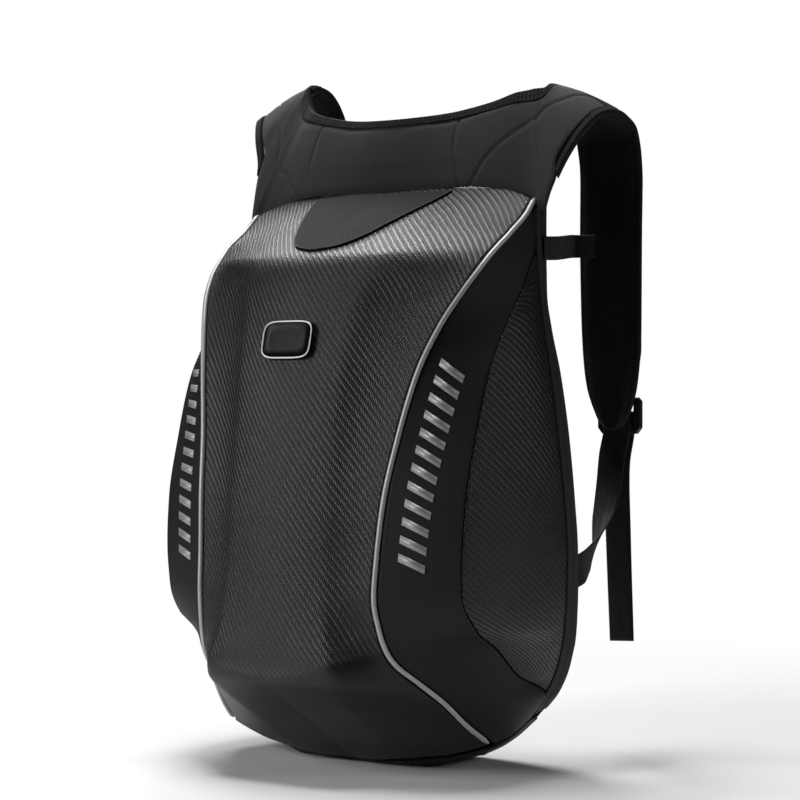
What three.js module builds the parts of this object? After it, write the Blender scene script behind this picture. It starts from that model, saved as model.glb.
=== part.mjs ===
import * as THREE from 'three';
import { mergeVertices } from 'three/addons/utils/BufferGeometryUtils.js';

// A hard shell backpack. Millimetres, Z up, front of the shell towards -Y, the wearer towards +Y.

// Driving sizes
const bodyHeight = 464;          // floor to the top of the deck
const bodyHalfWidth = 164;       // centre to the widest place of the back edge
const bodyDepth = 190;           // chin to the back plane
const backY = 80;                // the plane where the back panel starts
const bindingDepth = 17;         // bound strip between side panel and back panel
const shellWall = 3.5;
const clothWall = 2;
const baseWall = 3;
const backPad = 8;
const yokePad = 9;
const strapPad = 10;
const strapWidth = 69;
const webWidth = 25;
const webThick = 1.8;
const lifterWidth = 19;
const pipingRadius = 2;
const badgeWidth = 48;
const badgeHeight = 31;
const badgeThick = 3;
const seat = 0.3;                // gap left between pieces that touch
const seam = 0.8;                // gap between the walls at a sewn seam

// Level sections of the sack. z is a share of bodyHeight, the x columns of bodyHalfWidth and the
// y columns of bodyDepth, measured forwards from the back plane. centre, crease, piping and corner
// are the stations round half a section; rim and back are where it meets the bound strip; the two
// bulges say how far the band and the side panel stand out, as shares of their widths.
const levels = {
  columns: ['z', 'centreY', 'creaseX', 'creaseY', 'pipingX', 'pipingY', 'cornerX', 'cornerY',
    'rimX', 'backX', 'bandBulge', 'sideBulge'],
  rows: [
    [0.000, 0.374, 0.260, 0.390, 0.842, 0.221, 0.470, 0.090, 0.470, 0.460, 0.10, 0.00],
    [0.022, 0.458, 0.300, 0.474, 0.815, 0.284, 0.555, 0.090, 0.555, 0.549, 0.10, 0.00],
    [0.047, 0.545, 0.330, 0.553, 0.784, 0.358, 0.700, 0.090, 0.700, 0.678, 0.12, 0.00],
    [0.086, 0.700, 0.340, 0.703, 0.733, 0.484, 0.805, 0.090, 0.805, 0.790, 0.15, 0.00],
    [0.127, 0.864, 0.350, 0.862, 0.686, 0.589, 0.884, 0.092, 0.876, 0.894, 0.14, 0.00],
    [0.166, 1.000, 0.370, 0.968, 0.618, 0.700, 0.878, 0.300, 0.935, 0.948, 0.11, 0.03],
    [0.194, 1.006, 0.360, 0.982, 0.570, 0.783, 0.874, 0.390, 0.960, 0.970, 0.08, 0.05],
    [0.215, 1.004, 0.340, 0.978, 0.547, 0.818, 0.876, 0.460, 0.974, 0.984, 0.06, 0.06],
    [0.248, 0.998, 0.310, 0.963, 0.530, 0.848, 0.890, 0.618, 0.986, 0.993, 0.04, 0.07],
    [0.306, 0.986, 0.290, 0.942, 0.515, 0.872, 0.874, 0.708, 0.997, 0.999, 0.02, 0.07],
    [0.366, 0.974, 0.284, 0.925, 0.521, 0.861, 0.879, 0.719, 1.000, 0.998, 0.02, 0.07],
    [0.457, 0.950, 0.284, 0.904, 0.540, 0.839, 0.886, 0.701, 0.984, 0.980, 0.02, 0.07],
    [0.560, 0.922, 0.290, 0.868, 0.578, 0.787, 0.890, 0.638, 0.950, 0.950, 0.02, 0.07],
    [0.668, 0.872, 0.300, 0.834, 0.639, 0.725, 0.895, 0.546, 0.909, 0.902, 0.02, 0.06],
    [0.748, 0.828, 0.315, 0.786, 0.710, 0.648, 0.890, 0.410, 0.870, 0.850, 0.02, 0.05],
    [0.806, 0.790, 0.338, 0.740, 0.775, 0.565, 0.872, 0.270, 0.848, 0.824, 0.02, 0.04],
    [0.845, 0.752, 0.366, 0.700, 0.812, 0.487, 0.850, 0.180, 0.836, 0.822, 0.02, 0.02],
    [0.866, 0.712, 0.394, 0.660, 0.826, 0.435, 0.838, 0.130, 0.832, 0.821, 0.02, 0.01],
    [0.884, 0.640, 0.400, 0.594, 0.838, 0.382, 0.830, 0.100, 0.828, 0.821, 0.02, 0.00],
    [0.905, 0.548, 0.400, 0.514, 0.850, 0.316, 0.828, 0.092, 0.826, 0.821, 0.02, 0.00],
    [0.933, 0.428, 0.400, 0.402, 0.850, 0.215, 0.826, 0.091, 0.824, 0.821, 0.02, 0.00],
    [0.967, 0.272, 0.400, 0.248, 0.843, 0.125, 0.824, 0.090, 0.822, 0.821, 0.02, 0.00],
    [0.987, 0.168, 0.400, 0.150, 0.820, 0.060, 0.822, 0.089, 0.820, 0.821, 0.02, 0.00],
    [1.000, 0.078, 0.400, 0.060, 0.800, 0.020, 0.820, 0.089, 0.820, 0.821, 0.02, 0.00],
  ],
};

// Underside of the sack: height of its front and back edges and place of its front edge, by x.
const underside = {
  columns: ['x', 'frontZ', 'backZ', 'frontY'],
  rows: [
    [0.00, 0.000, 0.000, 0.374],
    [0.15, 0.002, 0.000, 0.390],
    [0.28, 0.008, 0.000, 0.412],
    [0.36, 0.012, 0.000, 0.410],
    [0.42, 0.015, 0.002, 0.395],
    [0.55, 0.021, 0.019, 0.378],
    [0.66, 0.031, 0.043, 0.370],
    [0.78, 0.045, 0.079, 0.358],
    [0.90, 0.062, 0.110, 0.340],
    [1.10, 0.090, 0.160, 0.320],
  ],
};

// Smooth reading of a table: a monotone cubic through one column, by another.
function reader(table, byColumn) {
  const at = table.columns.indexOf(byColumn);
  const keys = table.rows.map((row) => row[at]);
  const slopes = {};
  table.columns.forEach((name, c) => {
    const v = table.rows.map((row) => row[c]);
    const step = keys.slice(1).map((k, i) => (v[i + 1] - v[i]) / (k - keys[i]));
    slopes[name] = v.map((_, i) => {
      if (i === 0) return step[0];
      if (i === v.length - 1) return step[i - 1];
      if (step[i - 1] * step[i] <= 0) return 0;
      return 2 * step[i - 1] * step[i] / (step[i - 1] + step[i]);
    });
  });
  return (name, key) => {
    const c = table.columns.indexOf(name);
    const k = Math.min(Math.max(key, keys[0]), keys[keys.length - 1]);
    let i = 0;
    while (i < keys.length - 2 && keys[i + 1] < k) i += 1;
    const h = keys[i + 1] - keys[i];
    const t = (k - keys[i]) / h;
    const a = table.rows[i][c];
    const b = table.rows[i + 1][c];
    const ma = slopes[name][i] * h;
    const mb = slopes[name][i + 1] * h;
    const t2 = t * t;
    const t3 = t2 * t;
    return (2 * t3 - 3 * t2 + 1) * a + (t3 - 2 * t2 + t) * ma + (3 * t2 - 2 * t3) * b + (t3 - t2) * mb;
  };
}
const level = reader(levels, 'z');
const under = reader(underside, 'x');
const clamp = (v, a, b) => Math.min(Math.max(v, a), b);
const smooth = (t) => t * t * (3 - 2 * t);
const mix = (a, b, t) => a + (b - a) * t;
const forward = (share) => backY - share * bodyDepth;

// The facets are hollow at mid height, and stand out a little at the chin and on the deck
const facetBulge = (s) => mix(0.02, -0.065, smooth(clamp((s - 0.15) / 0.1, 0, 1))
  * (1 - smooth(clamp((s - 0.78) / 0.1, 0, 1))));

// One level section of the right half as a line from the centre to the back edge.
function section(z) {
  const s = z / bodyHeight;
  const put = (x, y) => [x * bodyHalfWidth, forward(y)];
  const centre = put(0, level('centreY', s));
  const crease = put(level('creaseX', s), level('creaseY', s));
  const piping = put(level('pipingX', s), level('pipingY', s));
  const corner = put(level('cornerX', s), level('cornerY', s));
  const rim = [level('rimX', s) * bodyHalfWidth, backY - bindingDepth];
  const back = [level('backX', s) * bodyHalfWidth, backY];
  return [
    { from: centre, to: crease, bulge: 0.04, span: 'centre' },
    { from: crease, to: piping, bulge: facetBulge(s), span: 'facet' },
    { from: piping, to: corner, bulge: level('bandBulge', s), span: 'band' },
    { from: corner, to: rim, bulge: level('sideBulge', s), span: 'side' },
    { from: rim, to: back, bulge: 0, span: 'binding' },
  ];
}
const spanOrder = ['centre', 'facet', 'band', 'side', 'binding'];

// A place on the skin: u counts spans from the centre (1 = crease, 2 = piping, 3 = corner...).
function skin(u, z) {
  const side = u < 0 ? -1 : 1;
  const v = clamp(Math.abs(u), 0, 5);
  const spans = section(z);
  const i = Math.min(Math.floor(v), 4);
  const t = v - i;
  const { from, to, bulge } = spans[i];
  const dx = to[0] - from[0];
  const dy = to[1] - from[1];
  const lift = 4 * t * (1 - t) * bulge;
  return new THREE.Vector3(side * (from[0] + dx * t + dy * lift), from[1] + dy * t - dx * lift, z);
}
function skinNormal(u, z) {
  const reach = 0.06;
  const rise = 4;
  const across = skin(u + reach, z).sub(skin(u - reach, z));
  const up = skin(u, Math.min(z + rise, bodyHeight)).sub(skin(u, Math.max(z - rise, 0)));
  return across.cross(up).normalize();
}

// Height of the sack's underside at a place
function undersideZ(x, y) {
  const s = Math.abs(x) / bodyHalfWidth;
  const frontY = forward(under('frontY', s));
  const t = clamp((y - frontY) / (backY - frontY), 0, 1);
  const run = mix(0.2, 1, clamp((s - 0.4) / 0.4, 0, 1));
  const w = smooth(clamp(t / run, 0, 1));
  return bodyHeight * mix(under('frontZ', s), under('backZ', s), w);
}
function lowest(u) {
  let z = 20;
  for (let i = 0; i < 40; i += 1) {
    const p = skin(u, z);
    z = mix(z, undersideZ(p.x, p.y) + baseWall + seat, 0.5);
  }
  return z;
}

// A closed slab between two grids of points, rows by columns, outer face first.
function slab(outer, inner) {
  const rows = outer.length;
  const cols = outer[0].length;
  const points = [];
  [outer, inner].forEach((grid) => grid.forEach((row) => row.forEach((p) => points.push(p))));
  const at = (layer, r, c) => (layer * rows + r) * cols + c;
  const index = [];
  const quad = (a, b, c, d) => {
    const near = points[a].distanceTo(points[c]) <= points[b].distanceTo(points[d]);
    if (near) index.push(a, b, c, a, c, d);
    else index.push(a, b, d, b, c, d);
  };
  for (let r = 0; r < rows - 1; r += 1) {
    for (let c = 0; c < cols - 1; c += 1) {
      quad(at(0, r, c), at(0, r, c + 1), at(0, r + 1, c + 1), at(0, r + 1, c));
      quad(at(1, r, c), at(1, r + 1, c), at(1, r + 1, c + 1), at(1, r, c + 1));
    }
  }
  for (let c = 0; c < cols - 1; c += 1) {
    quad(at(0, 0, c), at(1, 0, c), at(1, 0, c + 1), at(0, 0, c + 1));
    quad(at(0, rows - 1, c + 1), at(1, rows - 1, c + 1), at(1, rows - 1, c), at(0, rows - 1, c));
  }
  for (let r = 0; r < rows - 1; r += 1) {
    quad(at(0, r + 1, 0), at(1, r + 1, 0), at(1, r, 0), at(0, r, 0));
    quad(at(0, r, cols - 1), at(1, r, cols - 1), at(1, r + 1, cols - 1), at(0, r + 1, cols - 1));
  }
  const flat = new Float32Array(points.flatMap((p) => [p.x, p.y, p.z]));
  const made = new THREE.BufferGeometry();
  made.setAttribute('position', new THREE.BufferAttribute(flat, 3));
  made.setIndex(index);
  return made;
}
const grid = (rows, cols, place) => Array.from({ length: rows }, (_, r) =>
  Array.from({ length: cols }, (__, c) => place(r / (rows - 1), c / (cols - 1))));

// A wall that follows the skin between two lines of u, from z(u) low to z(u) high
function wall(fromU, toU, lowZ, highZ, thick, rows, cols, lift = 0, dense = 1) {
  const outer = [];
  const inner = [];
  for (let r = 0; r < rows; r += 1) {
    outer.push([]);
    inner.push([]);
    for (let c = 0; c < cols; c += 1) {
      const t = c / (cols - 1);
      let low = 20;
      let high = bodyHeight - 20;
      for (let i = 0; i < 4; i += 1) {
        low = lowZ(mix(fromU(low), toU(low), t));
        high = highZ(mix(fromU(high), toU(high), t));
      }
      const z = mix(low, high, (r / (rows - 1)) ** dense);
      const u = mix(fromU(z), toU(z), t);
      const n = skinNormal(u, z);
      const p = skin(u, z);
      outer[r].push(p.clone().addScaledVector(n, lift));
      inner[r].push(p.clone().addScaledVector(n, lift - thick));
    }
  }
  return slab(outer, inner);
}

// The part of a span, counted from one of its ends, that a length in mm takes up at a height
function shareOf(span, length, z) {
  const { from, to } = section(z)[spanOrder.indexOf(span)];
  return Math.min(length / Math.max(Math.hypot(to[0] - from[0], to[1] - from[1]), 1), 0.4);
}
const half = 0.5 * seam;
const pipingAt = (z) => skin(2, z).addScaledVector(skinNormal(2, z), pipingRadius * 0.2 - 0.5);
const pipingTrail = Array.from({ length: Math.ceil(bodyHeight / 5) + 1 }, (_, i) => pipingAt(5 * i));
// How far from the piping's line, as a count of spans, a neighbour has to end to stay clear of it
function clearOfPiping(z, side) {
  const keep = pipingRadius + seat + 0.6;
  const line = new THREE.Line3();
  const spot = new THREE.Vector3();
  const first = Math.max(Math.floor(z / 5) - 4, 0);
  const free = (share) => {
    const p = skin(2 + side * share, z);
    return pipingTrail.slice(first, first + 9).every((a, i, near) => i === near.length - 1
      || line.set(a, near[i + 1]).closestPointToPoint(p, true, spot).distanceTo(p) > keep);
  };
  let low = 0;
  let high = 0.5;
  for (let i = 0; i < 12; i += 1) {
    const middle = (low + high) / 2;
    if (free(middle)) high = middle;
    else low = middle;
  }
  return 2 + side * high;
}
const shellEdge = (z) => clearOfPiping(z, -1);
const bandFront = (z) => clearOfPiping(z, 1);
// A seam that runs nearly level needs more length in a level section for the same gap
function seamHalf(z) {
  const along = skin(3, z + 2).sub(skin(3, z - 2)).normalize();
  return half / Math.max(Math.abs(along.z), 0.3);
}
const bandBack = (z) => 3 - shareOf('band', seamHalf(z), z);
const panelFront = (z) => 3 + shareOf('side', seamHalf(z), z);
const panelBack = (z) => 4 - shareOf('side', half, z);
const bindingFront = (z) => 4 + shareOf('binding', half, z);
const deckTop = (u) => bodyHeight * (1 - 0.036 * Math.min(Math.abs(u) / 2, 1) ** 5);
const underYoke = 0.952 * bodyHeight;     // where bands and bindings end, covered by the yoke
const panelLow = 0.134 * bodyHeight;
const panelHigh = 0.872 * bodyHeight;

// A round rod through points, with a capped end at each side
function rod(points, radius, sides) {
  const ring = [];
  points.forEach((p, i) => {
    const ahead = points[Math.min(i + 1, points.length - 1)];
    const behind = points[Math.max(i - 1, 0)];
    const along = ahead.clone().sub(behind).normalize();
    const first = new THREE.Vector3(1, 0, 0).cross(along).normalize();
    const second = along.clone().cross(first);
    for (let k = 0; k < sides; k += 1) {
      const a = 2 * Math.PI * k / sides;
      ring.push(p.clone().addScaledVector(first, radius * Math.cos(a)).addScaledVector(second, radius * Math.sin(a)));
    }
  });
  const index = [];
  for (let i = 0; i < points.length - 1; i += 1) {
    for (let k = 0; k < sides; k += 1) {
      const a = i * sides + k;
      const b = i * sides + (k + 1) % sides;
      index.push(a, b, b + sides, a, b + sides, a + sides);
    }
  }
  const last = (points.length - 1) * sides;
  for (let k = 1; k < sides - 1; k += 1) {
    index.push(0, k + 1, k);
    index.push(last, last + k, last + k + 1);
  }
  const made = new THREE.BufferGeometry();
  const flat = new Float32Array(ring.flatMap((p) => [p.x, p.y, p.z]));
  made.setAttribute('position', new THREE.BufferAttribute(flat, 3));
  made.setIndex(index);
  return made;
}

// The padded collar and straps as one strip from the centre over the shoulder and down. outer is
// the lower edge, then the armhole edge; inner is the neck edge. x is a share of bodyHalfWidth,
// y of strapReach behind the back plane, z of yokeRise above the deck.
const strapReach = 92;
const yokeRise = 88;
const shoulderSlant = 9;         // the left shoulder stands this much higher, the right one lower
const strip = {
  columns: ['run', 'outerX', 'outerY', 'outerZ', 'innerX', 'innerY', 'innerZ'],
  rows: [
    [0.0, 0.000, -0.272, -0.030, 0.000, -0.239, 0.636],
    [1.0, 0.305, -0.261, -0.024, 0.287, -0.098, 0.682],
    [1.5, 0.445, -0.250, -0.020, 0.415, -0.048, 0.723],
    [2.0, 0.610, -0.217, -0.045, 0.524, -0.011, 0.770],
    [2.5, 0.762, -0.185, -0.140, 0.616, 0.043, 0.834],
    [2.8, 0.854, -0.223, -0.261, 0.671, 0.120, 0.881],
    [3.0, 0.890, -0.261, -0.295, 0.698, 0.163, 0.920],
    [3.3, 0.905, -0.196, -0.068, 0.720, 0.217, 0.966],
    [3.7, 0.927, -0.098, 0.193, 0.732, 0.261, 1.011],
    [4.1, 0.997, 0.022, 0.500, 0.735, 0.304, 1.034],
    [4.4, 1.061, 0.196, 0.705, 0.732, 0.370, 1.040],
    [4.7, 1.082, 0.359, 0.750, 0.726, 0.446, 1.034],
    [5.0, 1.082, 0.522, 0.744, 0.720, 0.543, 1.011],
    [5.4, 1.076, 0.685, 0.705, 0.713, 0.674, 0.920],
    [5.8, 1.070, 0.815, 0.625, 0.707, 0.783, 0.784],
    [6.2, 1.064, 0.902, 0.472, 0.701, 0.870, 0.602],
    [6.6, 1.061, 0.957, 0.273, 0.695, 0.935, 0.375],
    [7.0, 1.059, 0.989, 0.011, 0.689, 0.978, 0.091],
    [7.6, 1.057, 1.000, -0.443, 0.684, 0.995, -0.386],
    [8.6, 1.055, 1.000, -1.045, 0.689, 1.000, -1.045],
    [9.6, 1.052, 1.000, -1.500, 0.698, 1.000, -1.511],
    [10.0, 1.043, 0.995, -1.636, 0.710, 0.995, -1.670],
    [10.4, 1.027, 0.989, -1.830, 0.732, 0.989, -1.864],
    [10.7, 1.003, 0.984, -2.000, 0.768, 0.984, -2.045],
    [11.0, 0.966, 0.978, -2.159, 0.817, 0.978, -2.199],
    [11.2, 0.933, 0.978, -2.239, 0.866, 0.978, -2.261],
  ],
};
const stripAt = reader(strip, 'run');
const stripEnd = 11.2;
const shoulderSeam = 4.7;

// A place on the outer face of the strip. run is negative on the left; v goes from outer edge to neck.
function stripPoint(run, v) {
  const r = Math.abs(run);
  const side = run < 0 ? -1 : 1;
  const edge = (name) => new THREE.Vector3(stripAt(name + 'X', r) * bodyHalfWidth,
    backY + stripAt(name + 'Y', r) * strapReach, bodyHeight + stripAt(name + 'Z', r) * yokeRise);
  const outer = edge('outer');
  const p = outer.lerp(edge('inner'), v);
  const swell = 4 * v * (1 - v);
  p.y -= 3 * swell * (1 - smooth(clamp((r - 3) / 1.5, 0, 1)));
  p.z += 4 * swell * smooth(clamp((r - 3) / 1.5, 0, 1)) * (1 - smooth(clamp((r - 6) / 1, 0, 1)));
  p.y += 2.5 * swell * smooth(clamp((r - 6) / 1, 0, 1)) * (1 - smooth(clamp((r - 9.6) / 1, 0, 1)));
  const high = smooth(clamp((r - 2.5) / 1.2, 0, 1)) * (1 - smooth(clamp((r - 5.2) / 1.8, 0, 1)));
  p.z -= side * high * shoulderSlant;
  p.x *= side;
  return p;
}
function stripNormal(run, v) {
  const a = clamp(v - 0.08, 0, 1);
  const b = clamp(v + 0.08, 0, 1);
  const e = 0.12;
  const along = stripPoint(Math.min(run + e, stripEnd), v).sub(stripPoint(Math.max(run - e, -stripEnd), v));
  const across = stripPoint(run, b).sub(stripPoint(run, a));
  return along.cross(across).normalize();
}
// A padded piece of the strip; its lower rim is cut along the deck it stands on.
function pad(runs, fromV, toV, thick, rows, proud = 0) {
  const place = (depth) => grid(rows, runs.length, (r, c) => {
    const run = runs[Math.round(c * (runs.length - 1))];
    const v = mix(fromV(run), toV(run), r);
    const n = stripNormal(run, v);
    const taper = 0.55 + 0.45 * smooth(clamp(Math.min(v, 1 - v) / 0.22, 0, 1));
    const p = stripPoint(run, v).addScaledVector(n, proud - depth * taper);
    const nearDeck = (1 - smooth(clamp(v / 0.35, 0, 1))) * (1 - smooth(clamp((Math.abs(run) - 2.2) / 0.8, 0, 1)));
    p.z += nearDeck * depth * 0.75;
    return p;
  });
  return slab(place(0), place(thick));
}

// A flat web through points, each with the direction of its width
function web(points, widths, width, thick, count) {
  const path = new THREE.CatmullRomCurve3(points.map((p) => new THREE.Vector3(...p)), false, 'centripetal');
  const turn = new THREE.CatmullRomCurve3(widths.map((p) => new THREE.Vector3(...p)));
  const faces = [[], []];
  for (let i = 0; i < count; i += 1) {
    const t = i / (count - 1);
    const p = path.getPoint(t);
    const along = path.getTangent(t);
    const w = turn.getPoint(t);
    w.addScaledVector(along, -w.dot(along)).normalize();
    const n = along.clone().cross(w).normalize();
    [1, -1].forEach((sign, layer) => {
      const q = p.clone().addScaledVector(n, sign * thick / 2);
      faces[layer].push([q.clone().addScaledVector(w, width / 2), q.clone().addScaledVector(w, -width / 2)]);
    });
  }
  const made = slab(faces[0], faces[1]);
  return volume(made) < 0 ? turned(made) : made;
}
function volume(geometry) {
  const p = geometry.attributes.position;
  const i = geometry.index.array;
  let sum = 0;
  for (let k = 0; k < i.length; k += 3) {
    const [a, b, c] = [i[k], i[k + 1], i[k + 2]].map((j) => new THREE.Vector3().fromBufferAttribute(p, j));
    sum += a.dot(b.cross(c)) / 6;
  }
  return sum;
}
function turned(geometry) {
  const made = geometry.clone();
  const i = made.index.array;
  for (let k = 0; k < i.length; k += 3) [i[k + 1], i[k + 2]] = [i[k + 2], i[k + 1]];
  return made;
}
const indexed = (geometry) => mergeVertices(geometry.deleteAttribute('normal').deleteAttribute('uv'), 1e-4);
const mirrored = (geometry) => turned(geometry.clone().scale(-1, 1, 1));

// Looks of the slots
const slots = {
  carbon: { color: 0x17181a, roughness: 0.35, metalness: 0 },
  band: { color: 0x101113, roughness: 0.6, metalness: 0 },
  reflective: { color: 0xb4b6ba, roughness: 0.35, metalness: 0 },
  ribbed: { color: 0x2b2c2f, roughness: 0.9, metalness: 0 },
  neoprene: { color: 0x1b1c1f, roughness: 0.95, metalness: 0 },
  binding: { color: 0x0e0f10, roughness: 0.85, metalness: 0 },
  padding: { color: 0x0c0c0d, roughness: 0.95, metalness: 0 },
  webbing: { color: 0x101011, roughness: 0.85, metalness: 0 },
  plastic: { color: 0x18191a, roughness: 0.4, metalness: 0 },
  plate: { color: 0x050505, roughness: 0.15, metalness: 0 },
};
const group = new THREE.Group();
function add(name, geometry, slot) {
  const mesh = new THREE.Mesh(geometry, new THREE.MeshStandardMaterial(slots[slot]));
  mesh.geometry.computeVertexNormals();
  mesh.name = name;
  group.add(mesh);
}
function addPair(name, geometry, slot) {
  add(name + '_right', geometry, slot);
  add(name + '_left', mirrored(geometry), slot);
}

// Sack
add('front_shell', wall((z) => -shellEdge(z), shellEdge, lowest, deckTop, shellWall, 28, 17), 'carbon');
const pipingLine = Array.from({ length: 30 }, (_, i) => {
  return pipingAt(mix(lowest(2) + 1.5, 0.966 * bodyHeight, i / 29));
});
addPair('piping', rod(pipingLine, pipingRadius, 6), 'reflective');
addPair('side_band', wall(bandFront, bandBack, lowest, () => underYoke, clothWall, 28, 5, 0, 1.3), 'band');
addPair('side_panel', wall(panelFront, panelBack, () => panelLow, () => panelHigh, clothWall, 26, 6, 0, 1.3), 'carbon');
addPair('edge_binding', wall(bindingFront, () => 5, lowest, () => underYoke, clothWall, 26, 2, 0.6, 1.2), 'binding');

// Base: from the front line of the underside to the back plane
function basePoint(s, t, rise) {
  const x0 = s * 0.79 * bodyHalfWidth;
  const frontY = forward(under('frontY', Math.abs(x0) / bodyHalfWidth)) + 1.5;
  const y = mix(frontY, backY - seat, t);
  const x = x0 * (1 + 0.03 * Math.sin(Math.PI * t) - 0.02 * t);
  return new THREE.Vector3(x, y, undersideZ(x, y) + rise);
}
const baseGrid = (rise) => grid(7, 17, (r, c) => basePoint(2 * c - 1, 1 - r, rise));
add('base_panel', slab(baseGrid(0), baseGrid(baseWall)), 'band');

// Top: from the shell's edge to the back plane
function deckGrid(depth) {
  return grid(2, 17, (r, c) => {
    const u = mix(-1.55, 1.55, c);
    const z = deckTop(u);
    const n = skinNormal(u, z - 4);
    const edge = skin(u, z);
    const along = edge.clone().sub(skin(u, z - 4)).normalize();
    const front = edge.clone().addScaledVector(along, 2 * seat).addScaledVector(n, -depth);
    const rear = new THREE.Vector3(edge.x * 0.95, backY - seat, z + 2.2 - depth);
    return front.lerp(rear, r);
  });
}
add('top_panel', slab(deckGrid(0), deckGrid(shellWall)), 'ribbed');

// Back panel: its outline is the back edge
const backTop = (v) => bodyHeight * (1.006 - 0.022 * v ** 4);
function backGrid(rear) {
  return grid(18, 9, (r, c) => {
    const v = 1 - 2 * c;
    const z = backTop(v) * r;
    const x = v * level('backX', z / bodyHeight) * bodyHalfWidth;
    const round = (1 - Math.abs(v) ** 8) * (1 - Math.abs(2 * r - 1) ** 14);
    return new THREE.Vector3(x, backY + seat + (rear ? backPad * (0.4 + 0.6 * round) : 0), z);
  });
}
add('back_panel', slab(backGrid(true), backGrid(false)), 'padding');

// Ribbed insert on the deck: half width by height
const insertOutline = {
  columns: ['z', 'half'],
  rows: [[0.877, 0.03], [0.883, 0.12], [0.897, 0.195], [0.920, 0.260], [0.950, 0.335], [0.970, 0.380], [0.984, 0.405]],
};
const insertHalf = reader(insertOutline, 'z');
function insertGrid(lift) {
  return grid(10, 9, (r, c) => {
    const z = bodyHeight * mix(0.877, 0.984, r);
    const want = (2 * c - 1) * insertHalf('half', z / bodyHeight) * bodyHalfWidth;
    const creaseX = level('creaseX', z / bodyHeight) * bodyHalfWidth;
    const pipingX = level('pipingX', z / bodyHeight) * bodyHalfWidth;
    const a = Math.abs(want);
    const u = Math.sign(want) * (a < creaseX ? a / creaseX : 1 + (a - creaseX) / (pipingX - creaseX));
    return skin(u, z).addScaledVector(skinNormal(u, z), seat + lift);
  });
}
add('top_insert', slab(insertGrid(1.4), insertGrid(0)), 'ribbed');

// Badge: a plate with rounded corners, turned to the slope of the centre panel
const corner = 7;
const plate = new THREE.Shape();
const w = badgeWidth / 2;
const h = badgeHeight / 2;
plate.moveTo(-w + corner, -h).lineTo(w - corner, -h).quadraticCurveTo(w, -h, w, -h + corner);
plate.lineTo(w, h - corner).quadraticCurveTo(w, h, w - corner, h).lineTo(-w + corner, h);
plate.quadraticCurveTo(-w, h, -w, h - corner).lineTo(-w, -h + corner).quadraticCurveTo(-w, -h, -w + corner, -h);
const badgeZ = 0.724 * bodyHeight;
const face = new THREE.ExtrudeGeometry(plate, {
  depth: badgeThick - 1, bevelThickness: 0.5, bevelSize: 0.5, bevelOffset: -0.5, bevelSegments: 1, curveSegments: 5,
});
const badgeNormal = skin(0, badgeZ + 14).sub(skin(0, badgeZ - 14)).normalize();
const lean = Math.atan2(badgeNormal.y, badgeNormal.z);
face.rotateX(Math.PI / 2 - lean);
const badgeSpot = skin(0, badgeZ);
face.translate(0, badgeSpot.y - Math.cos(lean) * (seat + 0.9), badgeZ + Math.sin(lean) * (seat + 0.9));
add('badge', indexed(face), 'plate');

// Collar, its trims and the straps
const trim = 0.12;
const flat = (value) => () => value;
const armStart = 3.6;
const leftOf = (runs) => runs.map((run) => -run).reverse();
const armTrim = (run) => 0.1 * smooth(clamp((Math.abs(run) - armStart + 0.35) / 0.3, 0, 1));
const armEdge = (run) => armTrim(run) + 0.14 * armTrim(run);
const steps = (from, to, count) => Array.from({ length: count + 1 }, (_, i) => mix(from, to, i / count));
const armRuns = steps(armStart, shoulderSeam, 10);
const middleRuns = steps(-armStart, armStart, 30).slice(1, -1);
const yokeRuns = [...leftOf(armRuns), ...middleRuns, ...armRuns];
add('yoke', pad(yokeRuns, armEdge, flat(1 - trim - 0.01), yokePad, 6), 'neoprene');
add('neck_binding', pad(yokeRuns, flat(1 - trim + 0.01), flat(1), yokePad + 1, 2, 0.5), 'binding');
const strapRuns = steps(shoulderSeam + 0.012, stripEnd, 32);
[['_right', (runs) => runs], ['_left', leftOf]].forEach(([side, turn]) => {
  add('armhole_binding' + side, pad(turn(armRuns), flat(0), flat(0.088), yokePad + 0.5, 2, 0.3), 'binding');
  add('shoulder_strap' + side, pad(turn(strapRuns), flat(0), flat(1), strapPad, 5), 'padding');
});

// Adjusters and webs. Strap tip and the plane the webs hang in
const tipX = 0.9 * bodyHalfWidth;
const tipZ = bodyHeight - 2.26 * yokeRise;
const webY = backY + 0.98 * strapReach;
const lockWidth = 40;
const lockHeight = 30;
const lockThick = 5;
const lockY = webY + 3.5;
const lockZ = tipZ + 12;
const beside = seat + webThick / 2;
const lock = new THREE.Shape();
lock.moveTo(-lockWidth / 2 + 4, -lockHeight / 2).lineTo(lockWidth / 2 - 4, -lockHeight / 2);
lock.lineTo(lockWidth / 2, -lockHeight / 2 + 5).lineTo(lockWidth / 2, lockHeight / 2 - 3);
lock.lineTo(lockWidth / 2 - 3, lockHeight / 2).lineTo(-lockWidth / 2 + 3, lockHeight / 2);
lock.lineTo(-lockWidth / 2, lockHeight / 2 - 3).lineTo(-lockWidth / 2, -lockHeight / 2 + 5);
lock.closePath();
[-4.5, 5.5].forEach((z) => {
  const slot = new THREE.Path();
  const hw = webWidth / 2 + 1;
  slot.moveTo(-hw, z - 3).lineTo(-hw, z + 3).lineTo(hw, z + 3).lineTo(hw, z - 3).closePath();
  lock.holes.push(slot);
});
const frame = new THREE.ExtrudeGeometry(lock, {
  depth: lockThick - 1.2, bevelThickness: 0.6, bevelSize: 0.6, bevelOffset: -0.6, bevelSegments: 1,
});
frame.rotateX(Math.PI / 2);
frame.translate(tipX, lockY + lockThick - 0.6, lockZ);
addPair('ladder_lock', indexed(frame), 'plastic');

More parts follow.
